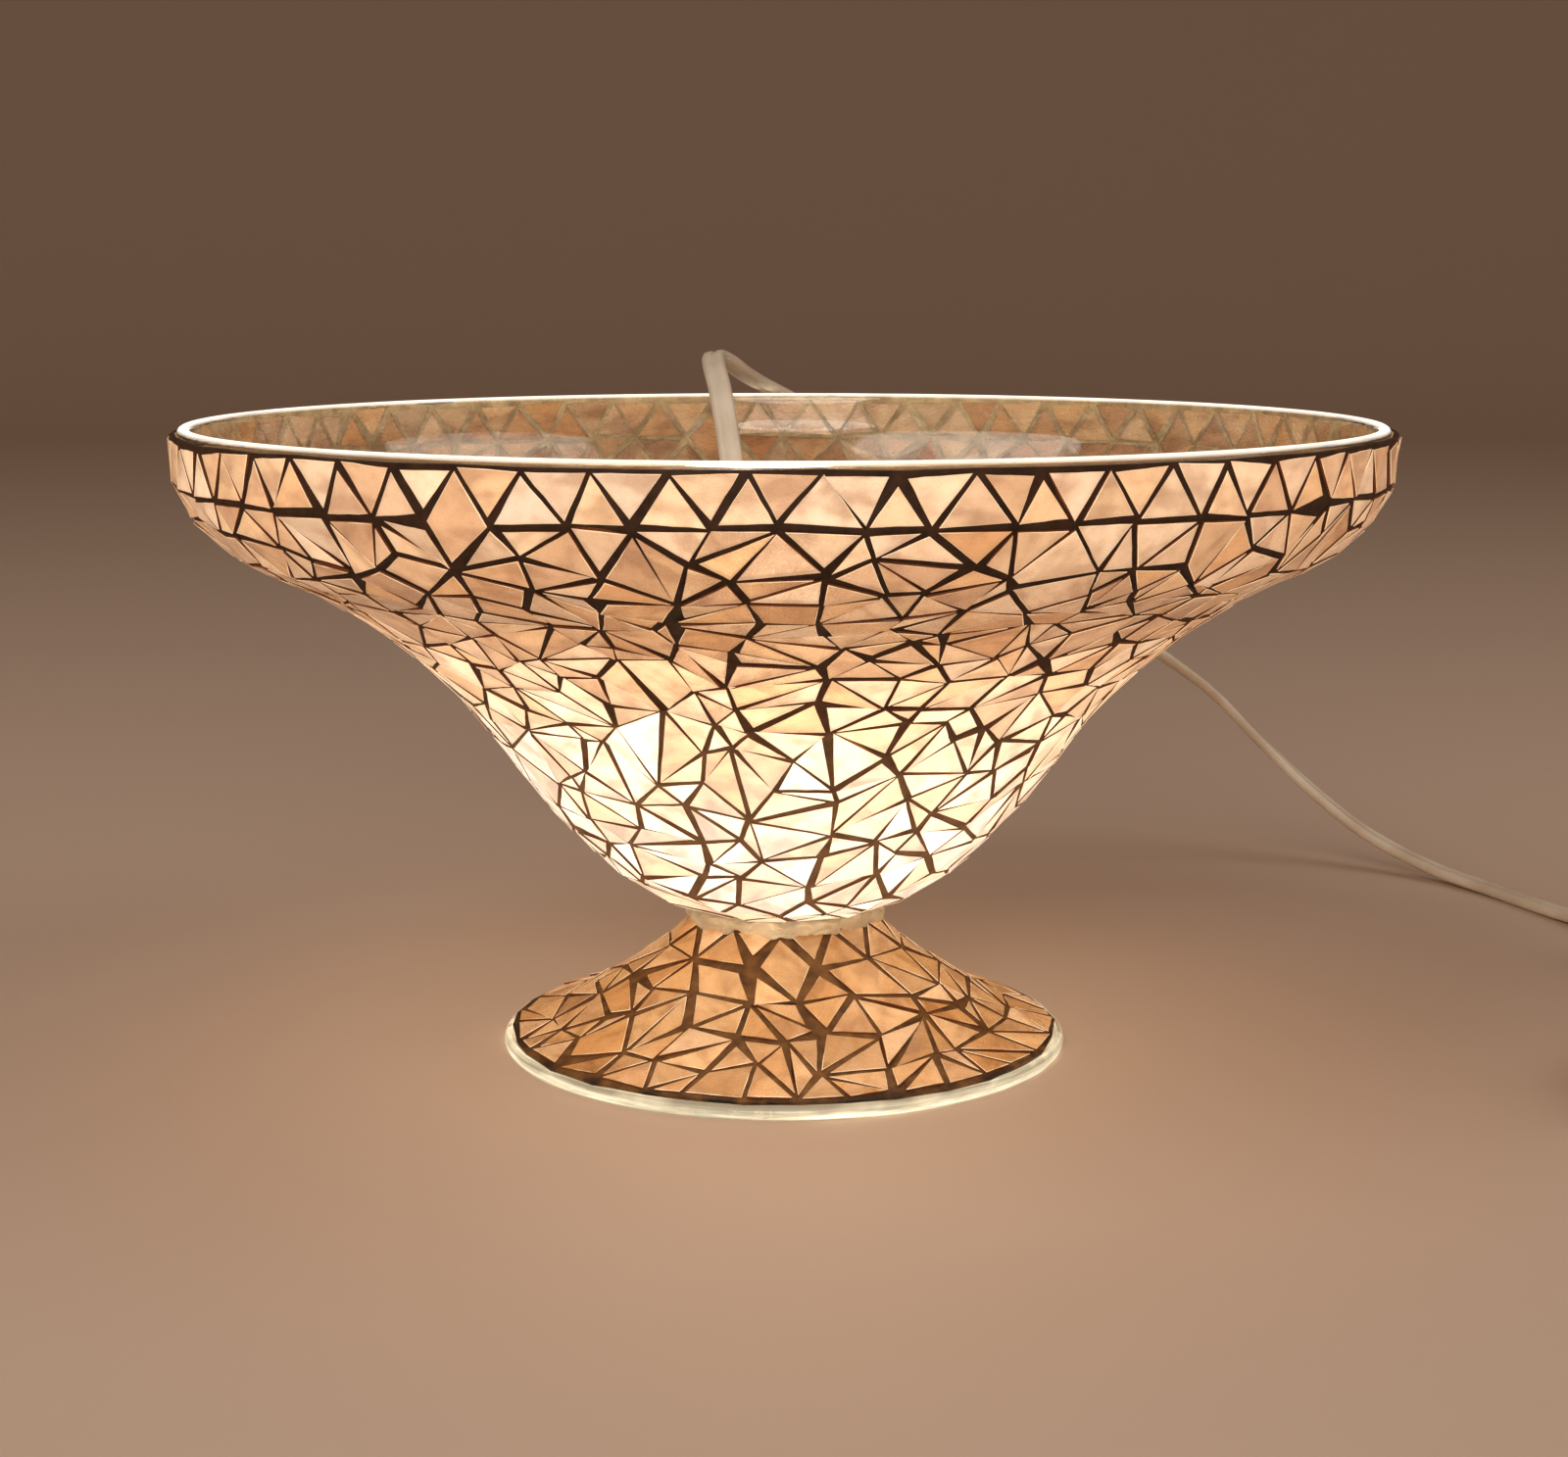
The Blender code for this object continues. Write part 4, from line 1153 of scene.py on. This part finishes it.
bowlTones = [(0.0, (0.60, 0.42, 0.27)), (0.12, (0.96, 0.93, 0.86)), (0.24, (0.84, 0.62, 0.36)),
             (0.38, (0.78, 0.76, 0.72)), (0.50, (0.72, 0.44, 0.20)), (0.64, (0.93, 0.82, 0.62)),
             (0.76, (0.98, 0.96, 0.91)), (0.88, (0.58, 0.36, 0.19)), (1.0, (0.82, 0.70, 0.54))]
bowlLit = [(0.0, (0.15, 0.068, 0.028)), (0.09, (0.34, 0.20, 0.11)), (0.22, (0.72, 0.50, 0.32)),
           (0.50, (1.0, 0.86, 0.63)), (1.0, (1.0, 0.98, 0.88))]
footTones = [(0.0, (0.56, 0.34, 0.14)), (0.2, (0.88, 0.70, 0.44)), (0.4, (0.44, 0.25, 0.09)),
             (0.6, (0.92, 0.80, 0.62)), (0.8, (0.60, 0.35, 0.13)), (1.0, (0.80, 0.60, 0.34))]
footLit = [(0.0, (0.36, 0.17, 0.055)), (0.10, (0.60, 0.33, 0.12)), (0.30, (0.95, 0.64, 0.30)),
           (1.0, (1.0, 0.84, 0.52))]
bowlChipLook = chipLook("bowlChips", bowlTones, bowlLit, 1.52, 0.40)
footChipLook = chipLook("footChips", footTones, footLit, 1.28, 0.25)


def edgeShade(tree):
    # the joint turns near black just above the foot's glass edge
    low = addNode(tree, "ShaderNodeMapRange",
                  {"Value": heightIn(tree), "From Min": 4.6 * mm, "From Max": 3.2 * mm})
    ragged = ramp(tree, pattern(tree, 90, 3), [(0.40, (0.1, 0.1, 0.1)), (0.52, (1, 1, 1))])
    return sums(tree, "MULTIPLY", outOf(low), ragged)


def jointLook(name, dark, brown, litGain, roughness):
    look, tree, shader = newLook(name, dark, roughness)
    shader.inputs["Specular IOR Level"].default_value = 0.2
    light = mark(tree, "chipGlow")
    tone = ramp(tree, pattern(tree, 320, 5), [(0.34, dark), (0.70, brown)])
    tree.links.new(mixed(tree, edgeShade(tree), tone, (0.014, 0.007, 0.004, 1)),
                   shader.inputs["Base Color"])
    glow = ramp(tree, light, [(0.05, (0, 0, 0)), (0.35, (0.10, 0.035, 0.012)),
                              (0.9, (0.34, 0.15, 0.06))])
    glow = mixed(tree, edgeShade(tree), glow, (0, 0, 0, 1))
    tree.links.new(mixed(tree, 0.6, glow, ramp(tree, pattern(tree, 240, 4),
                                               [(0.35, (0.25, 0.2, 0.2)), (0.65, (1, 1, 1))]),
                         "MULTIPLY"), shader.inputs["Emission Color"])
    shader.inputs["Emission Strength"].default_value = litGain
    bumped(tree, shader, pattern(tree, 900, 5), 0.6, 0.0002)
    return look


bowlJointLook = jointLook("bowlGrout", (0.012, 0.006, 0.003), (0.050, 0.024, 0.012), 0.55, 0.62)
footJointLook = jointLook("footGrout", (0.10, 0.040, 0.012), (0.26, 0.12, 0.035), 1.3, 0.50)
glueLook = grained("glueBack", [(0.30, 0.17, 0.07), (0.74, 0.56, 0.32)], (0.3, 0.6), 190, 0.0001,
                   coat=0.3)
glowing(glueLook, (1.0, 0.74, 0.42), 0.07)


def addGrain(mesh):
    # a vector over each chip that runs along its own streaks
    centres = mesh.attributes["chipCentre"].data
    facings = mesh.attributes["chipFacing"].data
    tones = mesh.attributes["chipTone"].data
    depths = mesh.attributes["chipDepth"].data
    layer = mesh.attributes.new("chipGrain", "FLOAT_VECTOR", "CORNER")
    spots = [vertex.co for vertex in mesh.vertices]
    for polygon in mesh.polygons:
        index = polygon.index
        middle, out = Vector(centres[index].vector), Vector(facings[index].vector).normalized()
        level = Vector((-middle.y, middle.x, 0)).normalized()
        up = out.cross(level)
        borderRow = middle.z > 120.5 * mm
        turn = (tones[index].value - 0.5) * (0.35 if borderRow else 2.6)
        first = level * math.cos(turn) + up * math.sin(turn)
        other = up * math.cos(turn) - level * math.sin(turn)
        jump = depths[index].value * 0.6
        for loopIndex in polygon.loop_indices:
            across = spots[mesh.loops[loopIndex].vertex_index] - middle
            layer.data[loopIndex].vector = (across.dot(first) + jump, across.dot(other) + jump,
                                            tones[index].value)


def mosaic(prefix, curve, settings, chipMaterial, jointMaterial, slots, replaced):
    values = {**chipSettings, **{key: value for key, value in settings.items() if key[0].isupper()}}
    layout = layoutMesh(prefix + "Layout", curve, settings, chipSettings["Lift"])
    made = []
    for part, joints, look in (("Chips", False, chipMaterial), ("Grout", True, jointMaterial)):
        values.update({"Show Joints": joints, "Material": look, "Back Material": glueLook})
        piece = runTree(chipTree, prefix + part, layout.copy(), values)
        closeUp(piece.data)
        if not joints:
            addGrain(piece.data)
        piece.data.shade_smooth()
        piece.data.set_sharp_from_angle(angle=math.radians(24))
        made.append(piece)
        print(piece.name, len(piece.data.polygons), "faces")
    for piece, slot, nodes in zip(made, slots, replaced):
        settle(piece, nodes)


bowlTileNodes = ["rim_border_tiles"] + [f"bowl_tiles_course_{row:02d}" for row in range(2, 13)]
footTileNodes = [f"foot_tiles_course_{row:02d}" for row in range(1, 5)]
mosaic("bowl", bowlCurve, bowlMosaic, bowlChipLook, bowlJointLook, ("bowl_tiles", "grout"),
       (bowlTileNodes, ["bowl_grout"]))
mosaic("foot", footCurve, footMosaic, footChipLook, footJointLook, ("foot_tiles", "foot_grout"),
       (footTileNodes, ["foot_grout"]))
print("mosaic laid")


# cement at the neck, roughened after it is turned

cementSettings = {"Size": 260.0, "Amount": 2.2 * mm}
roughTree, roughIn = startTree("roughTree", [("Size", "Float"), ("Amount", "Float"),
                                             ("Material", "Material")])
roughMove = roughField(roughTree, outOf(roughIn, "Size"), outOf(roughIn, "Amount"))
roughed = addNode(roughTree, "GeometryNodeSetPosition",
                  {"Geometry": outOf(roughIn, "Geometry"), "Offset": roughMove})
roughReal = addNode(roughTree, "GeometryNodeRealizeInstances", {"Geometry": outOf(roughed)})
roughDone = addNode(roughTree, "GeometryNodeSetMaterial",
                    {"Geometry": outOf(roughReal), "Material": outOf(roughIn, "Material")})
endTree(roughTree, outOf(roughDone))

cementLook = grained("cement", [(0.26, 0.12, 0.045), (0.92, 0.75, 0.48)], (0.30, 0.55), 70,
                     0.0003, coat=0.3, soft=0.2, depth=0.003)
glowing(cementLook, (1.0, 0.72, 0.38), 0.20)
cementLine = smoothCurve([(17.4, 28.6, 0), (18.9, 27.3, 0), (20.3, 27.0, 0), (21.0, 28.0, 0),
                          (20.8, 29.3, 0), (19.9, 30.3, 0), (18.4, 30.9, 0)], 6)
cementSection = [(0, 28.8 * mm)] + [(point.x * mm, point.y * mm) for point in cementLine]
cementSection.append((0, 30.9 * mm))
cementStart = turnPiece("cementStart", cementSection, cementLook, turnSettings["fine"])
cementMesh = cementStart.data
bpy.data.objects.remove(cementStart)
neckCement = runTree(roughTree, "neckCement", cementMesh,
                     {**cementSettings, "Material": cementLook})
neckCement.data.shade_smooth()
settle(neckCement, ["neck_cement"])
print("neck cemented")


# the holder and the bulb, glued in a little to the left of the middle

kitSettings = {"centre": (-5.5 * mm, 0), "bulbLight": 6.0}

phenolicLook = grained("phenolic", [(0.60, 0.55, 0.46), (0.70, 0.66, 0.57)], (0.30, 0.45), 160,
                       0.00003, coat=0.2)
brassLook = grained("brass", [(0.70, 0.48, 0.20), (0.86, 0.66, 0.34)], (0.22, 0.40), 240,
                    0.00003, (1, 1, 6), metal=1.0)
steelLook = grained("steel", [(0.50, 0.50, 0.48), (0.68, 0.68, 0.66)], (0.25, 0.42), 300,
                    0.00003, (1, 1, 6), metal=1.0)
beadLook = grained("glassBead", [(0.015, 0.015, 0.022), (0.035, 0.035, 0.045)], (0.08, 0.20), 300,
                   0.00002)
fibreLook = grained("fibre", [(0.26, 0.10, 0.05), (0.38, 0.17, 0.08)], (0.70, 0.85), 420, 0.00008)
padLook = grained("gluePad", [(0.46, 0.46, 0.43), (0.60, 0.60, 0.56)], (0.55, 0.75), 300, 0.0002)
opalLook, opalTree, opalShader = newLook("opalGlass", (1.0, 0.95, 0.86), 0.30, coat=0.3)
opalSpan = addNode(opalTree, "ShaderNodeMapRange",
                   {"Value": heightIn(opalTree), "From Min": 0.060, "From Max": 0.080})
opalTree.links.new(ramp(opalTree, outOf(opalSpan),
                        [(0.0, (0.90, 0.50, 0.20)), (0.6, (1.0, 0.78, 0.50)),
                         (1.0, (1.0, 0.88, 0.68))]), opalShader.inputs["Emission Color"])
opalShader.inputs["Emission Strength"].default_value = kitSettings["bulbLight"]
bumped(opalTree, opalShader, pattern(opalTree, 700, 4), 0.2, 0.00004)


def kitPiece(name, points, look, nodes, closed=False, body="lamp"):
    section = [(radius * mm, height * mm) for radius, height in points]
    made = turnPiece(name, section, look, turnSettings["middle"], closed, kitSettings["centre"])
    return settle(made, nodes, body)


kitPiece("holderPad", [(0, 34.6), (12.1, 34.6), (12.5, 35.3), (12.1, 36.0), (0, 36.0)], padLook,
         ["holder_pad"])
kitPiece("holderBase", [(0, 36.3), (12.2, 36.3), (12.8, 36.6), (13.0, 37.1), (13.0, 44.3),
                        (12.8, 44.9), (12.2, 45.3), (10.5, 45.3), (10.2, 45.0), (10.2, 38.8),
                        (0, 38.8)], phenolicLook, ["holder_base"])
kitPiece("holderShell", [(11.0, 45.6), (11.35, 45.8), (11.5, 46.2), (11.5, 48.0), (11.2, 48.3),
                         (11.2, 49.0), (11.5, 49.3), (11.5, 55.0), (11.2, 55.9), (10.3, 56.4),
                         (8.0, 56.4), (7.6, 56.2), (7.5, 55.9), (7.5, 47.0), (4.5, 47.0),
                         (4.5, 45.6)], phenolicLook, ["holder_shell"], True)
threadLine = []
for step in range(49):
    threadLine.append((5.65 + 0.25 * math.cos(math.pi * step / 8), 53.4 + 1.27 * step / 8))
kitPiece("bulbCap", [(4.0, 52.5), (4.9, 52.5)] + threadLine + [(5.9, 62.6), (6.6, 63.6),
         (6.2, 63.8), (5.1, 62.4), (5.1, 53.2), (4.0, 53.0)], brassLook, ["bulb_cap"],
         True, "bulb")
globe = smoothCurve([Vector(point) for point in
                     ((4.8, 57.0), (4.8, 63.4), (5.6, 65.6), (9.0, 69.6), (13.2, 74.2),
                      (15.8, 78.9), (16.5, 83.5), (15.6, 88.8), (12.6, 93.8), (7.4, 97.6),
                      (0, 99.2))], 5)
globe[-1].x = 0
globeInside = movedOut(globe, 0.7)[::-1]
globeInside[0] = Vector((0, 98.5))
kitPiece("bulbGlass", pairs(globeInside + globe), opalLook, ["bulb_glass"], False, "bulb")
print("holder and bulb turned")


# the ribbed sleeve where the cord leaves the holder, opening from round to the cord's flat shape

sleeveSettings = {
    "start": (-0.0055, 0.0105, 0.0403),
    "rise": 25.0,
    "length": 23.0 * mm,
    "radius": 3.3 * mm,
    "widens": 0.35 * mm,
    "thins": 1.25 * mm,
    "ribs": 5,
    "ribsFrom": 0.16,
    "ribDepth": 0.28 * mm,
    "steps": 60,
    "around": 32,
}


def addSleeve(settings, look):
    rise = math.radians(settings["rise"])
    ahead = Vector((0, math.cos(rise), math.sin(rise)))
    across = Vector((1, 0, 0))
    through = across.cross(ahead)
    rings = []
    length = settings["length"]
    for step in range(settings["steps"] + 1):
        share = step / settings["steps"]
        wide = settings["radius"] + settings["widens"] * share
        thin = settings["radius"] - settings["thins"] * share
        wave = math.sin(share * settings["ribs"] * math.tau)
        groove = 0.0
        if share >= settings["ribsFrom"]:
            groove = settings["ribDepth"] * max(-1, min(1, 2.4 * wave))
        rings.append((share * length, wide + groove, thin + groove))
    rings.append((length + 0.2 * mm, rings[-1][1] - 0.5 * mm, rings[-1][2] - 0.4 * mm))
    work = bmesh.new()
    loops = []
    for along, wide, thin in rings:
        loop = []
        for step in range(settings["around"]):
            angle = math.tau * step / settings["around"]
            spot = (Vector(settings["start"]) + ahead * along + across * (wide * math.cos(angle))
                    + through * (thin * math.sin(angle)))
            loop.append(work.verts.new(spot))
        loops.append(loop)
    for first, second in zip(loops, loops[1:]):
        for step in range(settings["around"]):
            on = (step + 1) % settings["around"]
            work.faces.new((first[step], first[on], second[on], second[step]))
    work.faces.new(loops[0][::-1])
    work.faces.new(loops[-1])
    bmesh.ops.recalc_face_normals(work, faces=work.faces)
    mesh = bpy.data.meshes.new("cordSleeve")
    work.to_mesh(mesh)
    work.free()
    mesh.shade_smooth()
    mesh.set_sharp_from_angle(angle=math.radians(50))
    return linked("cordSleeve", mesh, look)


ivoryLook = grained("ivoryPlastic", [(0.72, 0.65, 0.52), (0.80, 0.74, 0.62)], (0.38, 0.52), 700,
                    0.00006, coat=0.1)
settle(addSleeve(sleeveSettings, ivoryLook), ["cord_relief"])


# finishes for the pieces whose solid is already right

tieLook = grained("tieBand", [(0.78, 0.77, 0.73), (0.88, 0.87, 0.83)], (0.35, 0.5), 500, 0.00005)
wheelLook = grained("brownPlastic", [(0.075, 0.038, 0.022), (0.12, 0.062, 0.038)], (0.32, 0.45),
                    600, 0.00004, coat=0.15)
wireLook = grained("hotWire", [(0.4, 0.38, 0.36), (0.5, 0.48, 0.46)], (0.4, 0.5), 300, 0.00001,
                   metal=1.0)
glowing(wireLook, (1.0, 0.72, 0.38), 20.0)
stemLook = grained("stemGlass", [(0.95, 0.95, 0.93), (1.0, 1.0, 0.98)], (0.03, 0.06), 200,
                   0.00003, clear=0.9)
nodeFinishes = {
    brassLook: ["centre_contact", "screw_shell", "terminal_live", "terminal_neutral",
                "switch_axle", "switch_contact", "plug_blade_live", "plug_blade_neutral"],
    steelLook: ["terminal_screw_live", "terminal_screw_neutral", "bulb_contact", "switch_screw"],
    ivoryLook: ["switch_base", "switch_cover", "plug_body"],
    beadLook: ["bulb_insulator"], fibreLook: ["contact_washer"], tieLook: ["coil_tie"],
    wheelLook: ["switch_wheel"], wireLook: ["bulb_filament"], stemLook: ["bulb_stem"],
}
for look, names in nodeFinishes.items():
    for name in names:
        node = bpy.data.objects[name]
        for place in range(len(node.data.materials)):
            node.data.materials[place] = look
        if not node.data.materials:
            node.data.materials.append(look)
print("finishes given")


# a flat floor that bends up into the wall
flat, bend = roomSettings["floorFlat"], roomSettings["floorBend"]
floorSection = [(0, 0), (flat, 0)]
for step in range(1, 13):
    angle = math.pi / 2 * step / 12
    floorSection.append((flat + bend * math.sin(angle), bend - bend * math.cos(angle)))
floorSection.append((flat + bend, roomSettings["wallTop"]))
floorLook, floorTree, floorShader = newLook("floor", roomSettings["floorColour"], 0.60)
floor = turnPiece("floor", floorSection, floorLook, turnSettings["floor"])
